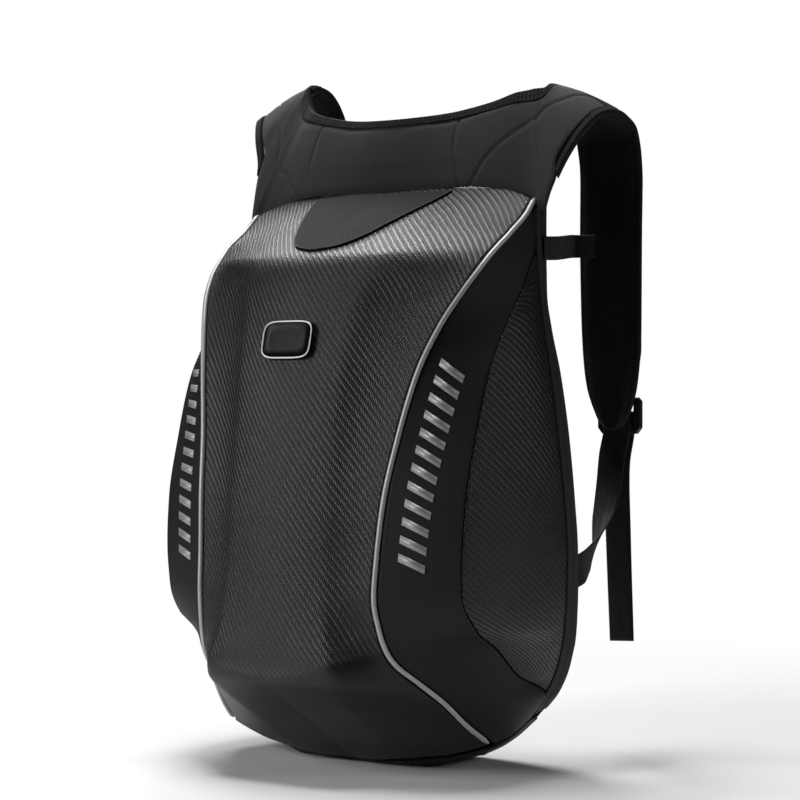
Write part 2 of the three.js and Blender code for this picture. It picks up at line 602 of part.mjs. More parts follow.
const across = [1, 0, 0];
const upright = [0, 0, 1];
const lockFront = lockY - beside;
const lockRear = lockY + lockThick + beside;
addPair('adjuster_loop', web([[tipX, webY + 4.7, lockZ + 34], [tipX, webY + 4.2, lockZ + 26],
  [tipX, lockFront, lockZ + 16], [tipX, lockFront, lockZ + 10]],
[across, across, across, across], webWidth, webThick, 7), 'webbing');
const padFace = backY + seat + backPad * 0.94 + beside;
addPair('lower_webbing', web([[tipX, lockFront, lockZ], [tipX - 1, lockFront - 0.5, lockZ - 14],
  [tipX - 4, webY, lockZ - 32], [tipX - 5, webY - 4, lockZ - 56], [tipX - 4, webY - 14, lockZ - 80],
  [tipX + 1, webY - 32, lockZ - 100], [tipX + 6, webY - 54, lockZ - 114], [tipX + 7, padFace + 10, lockZ - 122],
  [tipX + 1, padFace + 1, lockZ - 126], [tipX - 12, padFace, lockZ - 128]],
[across, across, across, [1, -0.1, 0], [0.9, -0.2, 0.2], [0.6, -0.2, 0.8], [0.2, 0, 1], upright, upright, upright],
webWidth, webThick, 26), 'webbing');
addPair('webbing_tail', web([[tipX, lockRear, lockZ + 4], [tipX - 1, lockRear, lockZ - 14],
  [tipX - 4, lockY + 4, lockZ - 40], [tipX - 2, lockY + 3, lockZ - 100], [tipX + 3, lockY, lockZ - 186]],
[across, across, across, [0.99, -0.1, 0], [0.985, -0.17, 0]], webWidth, webThick, 12), 'webbing');
const lifterZ = 0.884 * bodyHeight;
const edgeX = level('backX', 0.884) * bodyHalfWidth;
const strapInside = backY + strapReach - strapPad;
addPair('load_lifter', web([[edgeX + 2.4, backY - 8, lifterZ], [edgeX + 2.6, backY + 10, lifterZ + 1],
  [edgeX - 4, backY + 32, lifterZ + 3], [0.74 * bodyHalfWidth, strapInside - 20, lifterZ + 6],
  [0.715 * bodyHalfWidth, strapInside - 5, lifterZ + 7], [0.76 * bodyHalfWidth, strapInside - 1.4, lifterZ + 7],
  [0.81 * bodyHalfWidth, strapInside - 1.2, lifterZ + 7]],
[upright, upright, upright, upright, upright, upright, upright], lifterWidth, webThick, 22), 'webbing');

// The middle of the whole stands over the origin
const whole = new THREE.Box3().setFromObject(group);
group.position.set(0, -(whole.min.y + whole.max.y) / 2, -whole.min.z);

export default group;
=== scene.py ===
# %% [markdown]
# # A hard shell backpack, piece by piece
# This file turns the measured model of a moulded backpack into a finished picture. The real bag is a
# thermoformed shell with a woven look, sewn into black cloth side bands, under a padded collar whose
# ends become the shoulder straps. Each step says what the piece is, how it could be made, and why
# this way was taken. Sizes are in millimetres, as the pattern tables are, until a mesh is made.

# %% Load the measured model
import math
import bpy
import bmesh
import numpy as np
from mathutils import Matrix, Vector


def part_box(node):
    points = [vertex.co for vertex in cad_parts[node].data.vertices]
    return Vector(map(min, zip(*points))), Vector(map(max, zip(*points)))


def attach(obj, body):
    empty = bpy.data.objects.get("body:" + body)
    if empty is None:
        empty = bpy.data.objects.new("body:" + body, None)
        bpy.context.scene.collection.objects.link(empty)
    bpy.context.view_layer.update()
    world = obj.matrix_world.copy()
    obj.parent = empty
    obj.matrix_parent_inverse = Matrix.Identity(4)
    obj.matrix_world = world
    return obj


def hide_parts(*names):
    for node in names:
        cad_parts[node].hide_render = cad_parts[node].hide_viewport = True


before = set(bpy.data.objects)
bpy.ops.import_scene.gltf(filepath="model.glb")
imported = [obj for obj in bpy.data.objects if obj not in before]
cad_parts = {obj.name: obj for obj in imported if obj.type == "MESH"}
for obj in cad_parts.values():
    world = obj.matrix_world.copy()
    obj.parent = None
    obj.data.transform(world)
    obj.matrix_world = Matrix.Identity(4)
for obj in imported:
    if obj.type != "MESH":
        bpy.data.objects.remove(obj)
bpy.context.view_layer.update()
print("measured pieces:", len(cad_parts))

# %% [markdown]
# ## The pattern tables
# The sack is described by level sections: for each height, where the centre line, the crease, the
# piping, the side corner, the rim and the back edge lie. The same tables drove the measured model,
# so a finer mesh made from them lies exactly on it. A sculpted mesh would drift away from the
# measured one, which is why the tables are repeated here.

# %% Sizes of the bag
body_height = 464
body_half_width = 164
body_depth = 190
back_y = 80
binding_depth = 17
shell_wall = 3.5
cloth_wall = 2
back_pad = 8
yoke_pad = 9
strap_pad = 10
web_width = 25
web_thick = 1.8
lifter_width = 19
piping_radius = 2
seat = 0.3
seam = 0.8
strap_reach = 92
yoke_rise = 88
shoulder_slant = 9
sides = (("right", 1), ("left", -1))
shift_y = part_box("back_panel")[0][1] * 1000 - back_y - seat
print("the middle of the bag stands over the origin, so y moves by", round(shift_y, 2))

# %% Level sections of the sack
level_names = ["z", "centreY", "creaseX", "creaseY", "pipingX", "pipingY", "cornerX", "cornerY",
               "rimX", "backX", "bandBulge", "sideBulge"]
level_rows = [
    [0.000, 0.374, 0.260, 0.390, 0.842, 0.221, 0.470, 0.090, 0.470, 0.460, 0.10, 0.00],
    [0.022, 0.458, 0.300, 0.474, 0.815, 0.284, 0.555, 0.090, 0.555, 0.549, 0.10, 0.00],
    [0.047, 0.545, 0.330, 0.553, 0.784, 0.358, 0.700, 0.090, 0.700, 0.678, 0.12, 0.00],
    [0.086, 0.700, 0.340, 0.703, 0.733, 0.484, 0.805, 0.090, 0.805, 0.790, 0.15, 0.00],
    [0.127, 0.864, 0.350, 0.862, 0.686, 0.589, 0.884, 0.092, 0.876, 0.894, 0.14, 0.00],
    [0.166, 1.000, 0.370, 0.968, 0.618, 0.700, 0.878, 0.300, 0.935, 0.948, 0.11, 0.03],
    [0.194, 1.006, 0.360, 0.982, 0.570, 0.783, 0.874, 0.390, 0.960, 0.970, 0.08, 0.05],
    [0.215, 1.004, 0.340, 0.978, 0.547, 0.818, 0.876, 0.460, 0.974, 0.984, 0.06, 0.06],
    [0.248, 0.998, 0.310, 0.963, 0.530, 0.848, 0.890, 0.618, 0.986, 0.993, 0.04, 0.07],
    [0.306, 0.986, 0.290, 0.942, 0.515, 0.872, 0.874, 0.708, 0.997, 0.999, 0.02, 0.07],
    [0.366, 0.974, 0.284, 0.925, 0.521, 0.861, 0.879, 0.719, 1.000, 0.998, 0.02, 0.07],
    [0.457, 0.950, 0.284, 0.904, 0.540, 0.839, 0.886, 0.701, 0.984, 0.980, 0.02, 0.07],
    [0.560, 0.922, 0.290, 0.868, 0.578, 0.787, 0.890, 0.638, 0.950, 0.950, 0.02, 0.07],
    [0.668, 0.872, 0.300, 0.834, 0.639, 0.725, 0.895, 0.546, 0.909, 0.902, 0.02, 0.06],
    [0.748, 0.828, 0.315, 0.786, 0.710, 0.648, 0.890, 0.410, 0.870, 0.850, 0.02, 0.05],
    [0.806, 0.790, 0.338, 0.740, 0.775, 0.565, 0.872, 0.270, 0.848, 0.824, 0.02, 0.04],
    [0.845, 0.752, 0.366, 0.700, 0.812, 0.487, 0.850, 0.180, 0.836, 0.822, 0.02, 0.02],
    [0.866, 0.712, 0.394, 0.660, 0.826, 0.435, 0.838, 0.130, 0.832, 0.821, 0.02, 0.01],
    [0.884, 0.640, 0.400, 0.594, 0.838, 0.382, 0.830, 0.100, 0.828, 0.821, 0.02, 0.00],
    [0.905, 0.548, 0.400, 0.514, 0.850, 0.316, 0.828, 0.092, 0.826, 0.821, 0.02, 0.00],
    [0.933, 0.428, 0.400, 0.402, 0.850, 0.215, 0.826, 0.091, 0.824, 0.821, 0.02, 0.00],
    [0.967, 0.272, 0.400, 0.248, 0.843, 0.125, 0.824, 0.090, 0.822, 0.821, 0.02, 0.00],
    [0.987, 0.168, 0.400, 0.150, 0.820, 0.060, 0.822, 0.089, 0.820, 0.821, 0.02, 0.00],
    [1.000, 0.078, 0.400, 0.060, 0.800, 0.020, 0.820, 0.089, 0.820, 0.821, 0.02, 0.00],
]
underside_names = ["x", "frontZ", "backZ", "frontY"]
underside_rows = [
    [0.00, 0.000, 0.000, 0.374], [0.15, 0.002, 0.000, 0.390], [0.28, 0.008, 0.000, 0.412],
    [0.36, 0.012, 0.000, 0.410], [0.42, 0.015, 0.002, 0.395], [0.55, 0.021, 0.019, 0.378],
    [0.66, 0.031, 0.043, 0.370], [0.78, 0.045, 0.079, 0.358], [0.90, 0.062, 0.110, 0.340],
    [1.10, 0.090, 0.160, 0.320],
]
print(len(level_rows), "levels")


# %% Read a table smoothly
def reader(names, rows):
    values = np.array(rows, float)
    keys = values[:, 0]
    step = np.diff(values, axis=0) / np.diff(keys)[:, None]
    product = step[:-1] * step[1:]
    total = np.where(product > 0, step[:-1] + step[1:], 1.0)
    middle = np.where(product > 0, 2 * product / total, 0.0)
    slopes = np.vstack([step[:1], middle, step[-1:]])

    def read(name, key):
        c = names.index(name)
        k = np.clip(np.asarray(key, float), keys[0], keys[-1])
        i = np.clip(np.searchsorted(keys, k, side="left") - 1, 0, len(keys) - 2)
        h = keys[i + 1] - keys[i]
        t = (k - keys[i]) / h
        a, b = values[i, c], values[i + 1, c]
        rise_a, rise_b = slopes[i, c] * h, slopes[i + 1, c] * h
        t2, t3 = t * t, t * t * t
        from_a = (2 * t3 - 3 * t2 + 1) * a + (t3 - 2 * t2 + t) * rise_a
        return from_a + (3 * t2 - 2 * t3) * b + (t3 - t2) * rise_b
    return read


level = reader(level_names, level_rows)
under = reader(underside_names, underside_rows)


def mix(a, b, t):
    return a + (b - a) * t


def smooth(t):
    t = np.clip(t, 0, 1)
    return t * t * (3 - 2 * t)


def unit(v):
    return v / np.maximum(np.linalg.norm(v, axis=-1, keepdims=True), 1e-9)


print("half width at mid height:", round(float(level("backX", 0.5)) * body_half_width, 1))

# %% [markdown]
# ## Places on the skin
# `skin` gives a point for a station number and a height. Whole numbers are the seams: 1 is the
# crease, 2 the piping, 3 the side corner, 4 the rim, 5 the back edge, and negative numbers are the
# left half. The moulded crease of a real shell is rounded, because sheet can't be drawn over a knife
# edge, so `soft_skin` averages a few neighbours across the crease.


# %% Skin, its normal and its underside
panel_crown = 0.04
facet_crown = 0.02
facet_hollow = 0.065
hollow_from = 0.15
hollow_to = 0.78
hollow_fade = 0.1
crease_reach = 0.10
crease_span = 0.5
crease_weights = ((-1, 0.12), (-0.5, 0.24), (0, 0.28), (0.5, 0.24), (1, 0.12))
last_station = 5
deck_fall = 0.036
deck_fall_power = 5
above_underside = 3


def stations(z):
    s = z / body_height
    x = [0 * s, level("creaseX", s), level("pipingX", s), level("cornerX", s)]
    x = np.stack(x + [level("rimX", s), level("backX", s)]) * body_half_width
    y = [level("centreY", s), level("creaseY", s), level("pipingY", s), level("cornerY", s)]
    y = np.stack([back_y - v * body_depth for v in y] + [0 * s + back_y - binding_depth, 0 * s + back_y])
    hollow = smooth((s - hollow_from) / hollow_fade) * (1 - smooth((s - hollow_to) / hollow_fade))
    facet = mix(facet_crown, -facet_hollow, hollow)
    bulge = np.stack([0 * s + panel_crown, facet, level("bandBulge", s), level("sideBulge", s), 0 * s])
    return x, y, bulge


def skin(u, z):
    u, z = np.broadcast_arrays(np.asarray(u, float), np.asarray(z, float))
    side = np.where(u < 0, -1.0, 1.0)
    v = np.clip(np.abs(u), 0, last_station)
    x, y, bulge = stations(z)
    i = np.minimum(np.floor(v).astype(int), last_station - 1)
    t = v - i
    pick = lambda a, k: np.take_along_axis(a, k[None], 0)[0]
    x0, x1, y0, y1 = pick(x, i), pick(x, i + 1), pick(y, i), pick(y, i + 1)
    lift = 4 * t * (1 - t) * pick(bulge, i)
    x, y = x0 + (x1 - x0) * t + (y1 - y0) * lift, y0 + (y1 - y0) * t - (x1 - x0) * lift
    return np.stack([side * x, y, z], -1)


def soft_skin(u, z):
    wide = crease_reach * np.clip(1 - ((np.abs(u) - 1) / crease_span) ** 2, 0, 1)
    return sum(weight * skin(u + offset * wide, z) for offset, weight in crease_weights)


def normal_on(place, u, z, reach=0.06, rise=4):
    across = place(u + reach, z) - place(u - reach, z)
    up = place(u, np.minimum(z + rise, body_height)) - place(u, np.maximum(z - rise, 0))
    return unit(np.cross(across, up))


def underside_z(x, y):
    s = np.abs(x) / body_half_width
    front_y = back_y - under("frontY", s) * body_depth
    t = np.clip((y - front_y) / (back_y - front_y), 0, 1)
    run = mix(0.2, 1, np.clip((s - 0.4) / 0.4, 0, 1))
    return body_height * mix(under("frontZ", s), under("backZ", s), smooth(t / run))


around = np.linspace(-last_station, last_station, 801)
bottom = np.full(around.shape, 20.0)
for _ in range(40):
    p = skin(around, bottom)
    bottom = mix(bottom, underside_z(p[..., 0], p[..., 1]) + above_underside + seat, 0.5)


def lowest(u):
    return np.interp(u, around, bottom)


def deck_top(u):
    return body_height * (1 - deck_fall * np.minimum(np.abs(u) / 2, 1) ** deck_fall_power)


print("crease at half height:", skin(1.0, 232.0).round(1))


# %% Seams: where each cloth piece ends
piping_proud = piping_radius * 0.2 - 0.5
beside_piping = piping_radius + seat + 0.6
trail_step = 5.0


def piping_line(z):
    return skin(2.0, z) + normal_on(skin, 2.0, z) * piping_proud


trail = piping_line(np.arange(0, 470, trail_step))
heights = np.linspace(0, body_height, 233)


def clear_of_piping(z, side):
    low, high = np.zeros_like(z), np.full_like(z, 0.5)
    first = np.maximum(np.floor(z / trail_step).astype(int) - 4, 0)
    for _ in range(12):
        middle = (low + high) / 2
        p = skin(2 + side * middle, z)
        near = np.full_like(z, 1e9)
        for k in range(8):
            a = trail[np.minimum(first + k, len(trail) - 2)]
            b = trail[np.minimum(first + k + 1, len(trail) - 1)]
            t = np.clip(((p - a) * (b - a)).sum(-1) / ((b - a) ** 2).sum(-1), 0, 1)[:, None]
            near = np.minimum(near, np.linalg.norm(p - a - (b - a) * t, axis=-1))
        high = np.where(near > beside_piping, middle, high)
        low = np.where(near > beside_piping, low, middle)
    return 2 + side * high


def share_of(i, length, z):
    x, y, _ = stations(z)
    return np.minimum(length / np.maximum(np.hypot(x[i + 1] - x[i], y[i + 1] - y[i]), 1), 0.4)


half = 0.5 * seam
along = unit(skin(3.0, heights + 2) - skin(3.0, heights - 2))
seam_half = half / np.maximum(np.abs(along[:, 2]), 0.3)
edges = {
    "shell": clear_of_piping(heights, -1),
    "band_front": clear_of_piping(heights, 1),
    "band_back": 3 - share_of(2, seam_half, heights),
    "panel_front": 3 + share_of(3, seam_half, heights),
    "panel_back": 4 - share_of(3, half, heights),
    "binding_front": 4 + share_of(4, half, heights),
    "back": heights * 0 + last_station,
}
edge_at = lambda name, sign=1: (lambda z: sign * np.interp(z, heights, edges[name]))
under_yoke = 0.952 * body_height
panel_low = 0.134 * body_height
panel_high = 0.872 * body_height
print("shell ends at station", edges["shell"].min().round(2), "to", edges["shell"].max().round(2))

# %% [markdown]
# ## From points to a mesh
# A sewn or moulded wall is thin, and its rim is what shows that it has a thickness. Each wall is a
# grid of points whose border is carried over the edge in a small quarter round and then down to the
# inner face. A Solidify modifier would do nearly the same, but not the rounding. Every wall also
# gets a UV map that counts threads along the surface, so that a weave keeps its size on every face.


# %% Build a mesh in metres
def add_object(name, data):
    made = bpy.data.objects.new(name, data)
    bpy.context.scene.collection.objects.link(made)
    return made


def in_metres(points):
    return (np.asarray(points, float) + [0, shift_y, 0]) / 1000


def mesh_of(name, points, faces, uv=None, marks=None):
    data = bpy.data.meshes.new(name)
    data.from_pydata(in_metres(points).tolist(), [], [tuple(f) for f in faces])
    data.update()
    data.polygons.foreach_set("use_smooth", [True] * len(data.polygons))
    if uv is not None:
        layer = data.uv_layers.new(name="threads")
        loops = np.zeros(len(data.loops), int)
        data.loops.foreach_get("vertex_index", loops)
        layer.data.foreach_set("uv", np.asarray(uv, float)[loops].ravel())
    for key, values in (marks or {}).items():
        data.attributes.new(key, "FLOAT", "POINT").data.foreach_set("value", np.asarray(values, float))
    return add_object(name, data)


def lengths_along(p, axis):
    step = np.linalg.norm(np.diff(p, axis=axis), axis=-1)
    pad = [(0, 0), (0, 0)]
    pad[axis] = (1, 0)
    return np.cumsum(np.pad(step, pad), axis=axis)


def run_along(path):
    return np.concatenate([[0], np.cumsum(np.linalg.norm(np.diff(path, axis=0), axis=1))])


def grid_of(rows, cols):
    """The quads of a grid of points, and the points of its border in order."""
    index = np.arange(rows * cols).reshape(rows, cols)
    quads = np.stack([index[:-1, :-1], index[:-1, 1:], index[1:, 1:], index[1:, :-1]], -1).reshape(-1, 4)
    return quads, np.concatenate([index[0], index[1:, -1], index[-1, -2::-1], index[-2:0:-1, 0]])


def between(rings):
    """The quads that join each closed ring of points to the next."""
    faces = []
    for a, b in zip(rings[:-1], rings[1:]):
        faces += np.stack([a, b, np.roll(b, -1), np.roll(a, -1)], -1).tolist()
    return faces


def thin_wall(name, place, rows, cols, thick, edge, lift=0.0, thread=(1.0, 1.0), marks=None):
    """place(s, t) gives a point and its normal for rows s and columns t from 0 to 1."""
    s, t = np.meshgrid(np.linspace(0, 1, rows), np.linspace(0, 1, cols), indexing="ij")
    p, n = place(s, t)
    across, up = lengths_along(p, 1), lengths_along(p, 0)
    width = np.maximum(across[:, -1].mean(), 1)
    height = np.maximum(up[-1].mean(), 1)
    inset = lambda v, size: np.clip(v * (1 - 2 * edge / size) + edge / size, 0, 1)
    inner_p, inner_n = place(inset(s, height), inset(t, width))
    flat = lambda a: a.reshape(-1, a.shape[-1])
    quads, border = grid_of(rows, cols)
    body = flat(inner_p + inner_n * lift)
    rim_in, rim_out, rim_n = body[border], flat(p + n * lift)[border], flat(n)[border]
    points = [body]
    for angle in (30, 60, 90):
        a = math.radians(angle)
        points.append(rim_in + (rim_out - rim_in) * math.sin(a) - rim_n * edge * (1 - math.cos(a)))
    points.append(rim_out - rim_n * thick)
    points.append(rim_in + (rim_in - rim_out) * 2 - rim_n * thick)
    count = len(border)
    rings = [border] + [rows * cols + k * count + np.arange(count) for k in range(5)]
    faces = quads.tolist() + between(rings)
    middle = across[:, cols // 2][:, None]
    base = up[rows // 2][None, :]
    uv = np.stack([(across - middle) / thread[0], (up - base) / thread[1]], -1).reshape(-1, 2)
    uv = np.concatenate([uv] + [uv[border]] * 5)
    extra = {}
    for key, value in (marks or {}).items():
        v = value(s, t).ravel()
        extra[key] = np.concatenate([v] + [v[border]] * 5)
    return mesh_of(name, np.concatenate(points), faces, uv, extra)


first_guess = 20.0
guesses = 5


def skin_place(from_u, to_u, low_z, high_z, surface=skin, dense=1.0):
    def place(s, t):
        low = np.full(s.shape, first_guess)
        high = np.full(s.shape, body_height - first_guess)
        for _ in range(guesses):
            low = low_z(mix(from_u(low), to_u(low), t)) + 0 * s
            high = high_z(mix(from_u(high), to_u(high), t)) + 0 * s
        z = mix(low, high, s ** dense)
        u = mix(from_u(z), to_u(z), t)
        return surface(u, z), normal_on(surface, u, z)
    return place


print("walls are built by thin_wall and placed by skin_place")

# %% [markdown]
# ## Shader groups
# The shell's look is an embossed twill: each tow runs over two and under two, and the offset by one thread
# in each row gives the slanting stripes. The stripes' contrast is partly painted sheen: the tows that lie
# one way are painted lighter than the others, and each tow lighter on its crown, where a real weave gets
# that difference from its fibres catching the light. Geometry for a thread a millimetre wide would need
# millions of faces, so the weave is arithmetic on the thread coordinates, shared by the shell and the side
# panels as a node group. Web weave and cloth grain are groups of their own.


# %% Helpers for node trees
def wire(tree, kind, *values, **settings):
    node = tree.nodes.new(kind)
    for key, value in settings.items():
        setattr(node, key, value)
    for i, value in enumerate(values):
        if isinstance(value, bpy.types.NodeSocket):
            tree.links.new(value, node.inputs[i])
        elif value is not None:
            node.inputs[i].default_value = value
    return node


def plug(tree, node, **values):
    """Links or sets inputs by name, where an underscore stands for a space."""
    for key, value in values.items():
        entry = node.inputs[key.replace("_", " ")]
        if isinstance(value, bpy.types.NodeSocket):
            tree.links.new(value, entry)
        else:
            entry.default_value = value
    return node


def maths(tree, operation, *values):
    return wire(tree, "ShaderNodeMath", *values, operation=operation).outputs[0]


def shader_group(name, inputs, outputs):
    tree = bpy.data.node_groups.new(name, "ShaderNodeTree")
    for label, kind, value in inputs:
        item = tree.interface.new_socket(label, in_out="INPUT", socket_type=kind)
        if value is not None:
            item.default_value = value
    for label, kind in outputs:
        tree.interface.new_socket(label, in_out="OUTPUT", socket_type=kind)
    return tree, tree.nodes.new("NodeGroupInput"), tree.nodes.new("NodeGroupOutput")


def use_group(tree, group, **values):
    node = tree.nodes.new("ShaderNodeGroup")
    node.node_tree = group
    return plug(tree, node, **values)


# %% Twill weave: over two, under two
def make_twill():
    tree, source, sink = shader_group("twill_weave", [("Threads", "NodeSocketVector", None)],
                                      [("Warp", "NodeSocketFloat"), ("Height", "NodeSocketFloat")])
    across, up, _ = wire(tree, "ShaderNodeSeparateXYZ", source.outputs[0]).outputs
    row = maths(tree, "FLOOR", up)
    column = maths(tree, "FLOOR", across)
    frac_a = maths(tree, "FRACT", across)
    frac_u = maths(tree, "FRACT", up)
    step = maths(tree, "FLOORED_MODULO", maths(tree, "ADD", row, column), 4.0)
    warp = maths(tree, "LESS_THAN", step, 1.5)

    def crown(value):
        near = maths(tree, "SUBTRACT", maths(tree, "MULTIPLY", value, 2.0), 1.0)
        return maths(tree, "SUBTRACT", 1.0, maths(tree, "MULTIPLY", near, near))

    run_warp = maths(tree, "MULTIPLY", maths(tree, "ADD", step, frac_u), 0.5)
    run_weft = maths(tree, "MULTIPLY", maths(tree, "ADD", maths(tree, "SUBTRACT", step, 2.0), frac_a), 0.5)
    high_warp = maths(tree, "MULTIPLY", crown(frac_a), maths(tree, "POWER", crown(run_warp), 0.6))
    high_weft = maths(tree, "MULTIPLY", crown(frac_u), maths(tree, "POWER", crown(run_weft), 0.6))
    on_warp = maths(tree, "MULTIPLY", high_warp, warp)
    off_warp = maths(tree, "MULTIPLY", high_weft, maths(tree, "SUBTRACT", 1.0, warp))
    height = maths(tree, "ADD", on_warp, off_warp)
    tree.links.new(warp, sink.inputs[0])
    tree.links.new(height, sink.inputs[1])
    return tree


twill_weave = make_twill()


# %% Web weave: herringbone ribs across a strap, and cloth grain
def make_web_weave():
    tree, source, sink = shader_group("web_weave", [("Threads", "NodeSocketVector", None)],
                                      [("Height", "NodeSocketFloat")])
    parts = wire(tree, "ShaderNodeSeparateXYZ", source.outputs[0]).outputs
    zigzag = maths(tree, "PINGPONG", parts[0], 3.0)
    phase = maths(tree, "ADD", parts[1], zigzag)
    wave = maths(tree, "SINE", maths(tree, "MULTIPLY", phase, 2 * math.pi))
    cord = maths(tree, "ABSOLUTE", maths(tree, "SINE", maths(tree, "MULTIPLY", parts[0], math.pi)))
    height = maths(tree, "ADD", maths(tree, "MULTIPLY", wave, 0.35), maths(tree, "MULTIPLY", cord, 0.6))
    tree.links.new(height, sink.inputs[0])
    return tree


def make_cloth_grain():
    inputs = [("Place", "NodeSocketVector", None), ("Fineness", "NodeSocketFloat", 900.0)]
    tree, source, sink = shader_group("cloth_grain", inputs, [("Height", "NodeSocketFloat"),
                                                               ("Cloud", "NodeSocketFloat")])
    scaled = wire(tree, "ShaderNodeVectorMath", source.outputs[0], operation="SCALE")
    plug(tree, scaled, Scale=source.outputs[1])
    cells = plug(tree, wire(tree, "ShaderNodeTexVoronoi", scaled.outputs[0]), Scale=1.0)
    cloud = plug(tree, wire(tree, "ShaderNodeTexNoise", source.outputs[0]), Scale=22.0, Detail=4.0)
    tree.links.new(maths(tree, "SUBTRACT", 1.0, cells.outputs["Distance"]), sink.inputs[0])
    tree.links.new(cloud.outputs["Fac"], sink.inputs[1])
    return tree


web_weave = make_web_weave()
cloth_grain = make_cloth_grain()
print("shader groups:", [g.name for g in bpy.data.node_groups])

# %% [markdown]
# ## Materials
# Thermoformed film is a dark plastic with a soft gloss, and the embossed twill breaks its highlight into
# small bright ticks, helped by painted sheen on the lighter floats. The band cloth is a dense black weave,
# the collar a matte charcoal neoprene, the strap faces an open mesh, the webs nylon, the piping a silver
# reflective tape. All of them are nearly black, so roughness and relief tell them apart more than colour
# does.


# %% Colour, roughness and bump on one principled shader
def new_material(name, **values):
    made = bpy.data.materials.new(name)
    made.use_nodes = True
    shader = plug(made.node_tree, made.node_tree.nodes["Principled BSDF"], **values)
    return made, made.node_tree, shader


def threads_of(tree):
    return wire(tree, "ShaderNodeUVMap", uv_map="threads").outputs[0]


def place_of(tree):
    return wire(tree, "ShaderNodeTexCoord").outputs["Object"]


def ramp(tree, value, low, high):
    made = wire(tree, "ShaderNodeMix", value, data_type="RGBA")
    made.inputs[6].default_value = (*low, 1)
    made.inputs[7].default_value = (*high, 1)
    return made.outputs[2]


def span(tree, value, low, high):
    return wire(tree, "ShaderNodeMapRange", value, 0.0, 1.0, low, high).outputs[0]


grey = lambda v: (v, v, v * 1.03)


def paint(tree, shader, tone, dark, light, rough, height, depth):
    """Colour between two greys by tone, a roughness, and a relief of the given depth in metres."""
    relief = plug(tree, wire(tree, "ShaderNodeBump", 1.0, depth), Height=height)
    plug(tree, shader, Base_Color=ramp(tree, tone, grey(dark), grey(light)), Roughness=rough,
         Normal=relief.outputs[0])


def carbon_material(name):
    made, tree, shader = new_material(name, Specular_IOR_Level=0.45)
    weave = use_group(tree, twill_weave, Threads=threads_of(tree)).outputs
    plain = wire(tree, "ShaderNodeAttribute", attribute_name="plain").outputs["Fac"]
    shown = maths(tree, "SUBTRACT", 1.0, plain)
    grain = use_group(tree, cloth_grain, Place=place_of(tree), Fineness=1400.0).outputs
    warp = maths(tree, "MULTIPLY", weave["Warp"], shown)
    # Painted sheen: the warp floats are painted lighter than the weft floats, and each float lighter on its
    # crown, in place of the highlight that the fibre direction would catch.
    tone = maths(tree, "MULTIPLY", warp, maths(tree, "ADD", 0.35, weave["Height"]))
    rough = maths(tree, "ADD", span(tree, warp, 0.50, 0.25), span(tree, grain["Cloud"], -0.03, 0.04))
    woven = maths(tree, "MULTIPLY", weave["Height"], shown)
    fine = maths(tree, "MULTIPLY", grain["Height"], 0.05)
    paint(tree, shader, tone, 0.001, 0.030, rough, maths(tree, "ADD", woven, fine), 0.00024)
    return made


def grained_material(name, dark, light, roughness, spread, fineness, depth, rough_by="Height", **values):
    made, tree, shader = new_material(name, **values)
    grain = use_group(tree, cloth_grain, Place=place_of(tree), Fineness=fineness).outputs
    rough = span(tree, grain[rough_by], roughness - spread, roughness + spread)
    paint(tree, shader, grain["Cloud"], dark, light, rough, grain["Height"], depth)
    return made


def cloth_material(name, dark, light, roughness, fineness, depth, sheen=0.0):
    return grained_material(name, dark, light, roughness, 0.06, fineness, depth, Specular_IOR_Level=0.35,
                            Sheen_Weight=sheen, Sheen_Roughness=0.5)


def ribbed_material(name, dark, light, roughness, rib, depth, slant=0.0):
    made, tree, shader = new_material(name, Specular_IOR_Level=0.2, Sheen_Weight=0.05)
    across, up, _ = wire(tree, "ShaderNodeSeparateXYZ", threads_of(tree)).outputs
    phase = maths(tree, "ADD", across, maths(tree, "MULTIPLY", up, slant))
    wave = maths(tree, "SINE", maths(tree, "MULTIPLY", phase, 2 * math.pi / rib))
    knit = maths(tree, "SINE", maths(tree, "MULTIPLY", up, 2 * math.pi / (rib * 0.8)))
    half_wave = maths(tree, "MULTIPLY", wave, 0.5)
    height = maths(tree, "ADD", half_wave, maths(tree, "MULTIPLY", knit, 0.2))
    # Painted shade: each rib is painted lighter on its crown and darker in the groove beside it.
    painted_rib_shade = maths(tree, "ADD", 0.5, half_wave)
    rough = span(tree, painted_rib_shade, roughness + 0.05, roughness - 0.05)
    paint(tree, shader, painted_rib_shade, dark, light, rough, height, depth)
    return made


def web_material(name, dark, light, roughness, depth):
    made, tree, shader = new_material(name, Specular_IOR_Level=0.35, Sheen_Weight=0.1)
    height = use_group(tree, web_weave, Threads=threads_of(tree)).outputs["Height"]
    rough = span(tree, height, roughness + 0.08, roughness - 0.08)
    # Painted shade: the colour follows the weave's relief, darker in the grooves between the cords and
    # lighter on their crowns.
    paint(tree, shader, height, dark, light, rough, height, depth)
    return made


carbon_film = carbon_material("carbon_film")
band_cloth = cloth_material("band_cloth", 0.004, 0.007, 0.62, 1700.0, 0.00012)
neoprene = cloth_material("charcoal_neoprene", 0.011, 0.017, 0.78, 1500.0, 0.00015, 0.12)
mesh_cloth = cloth_material("strap_mesh", 0.0035, 0.007, 0.85, 520.0, 0.0006)
edge_tape = web_material("edge_tape", 0.003, 0.009, 0.7, 0.0003)
ribbed_tape = ribbed_material("ribbed_tape", 0.003, 0.012, 0.75, 2.0, 0.0004)
insert_cloth = ribbed_material("insert_cloth", 0.005, 0.022, 0.8, 1.5, 0.0004, 0.35)
nylon_web = web_material("nylon_web", 0.004, 0.010, 0.7, 0.0003)
thread = cloth_material("sewing_thread", 0.010, 0.022, 0.6, 4000.0, 0.0001)
seam_cord = cloth_material("seam_cord", 0.003, 0.006, 0.6, 2500.0, 0.0001)
print("cloth materials ready")


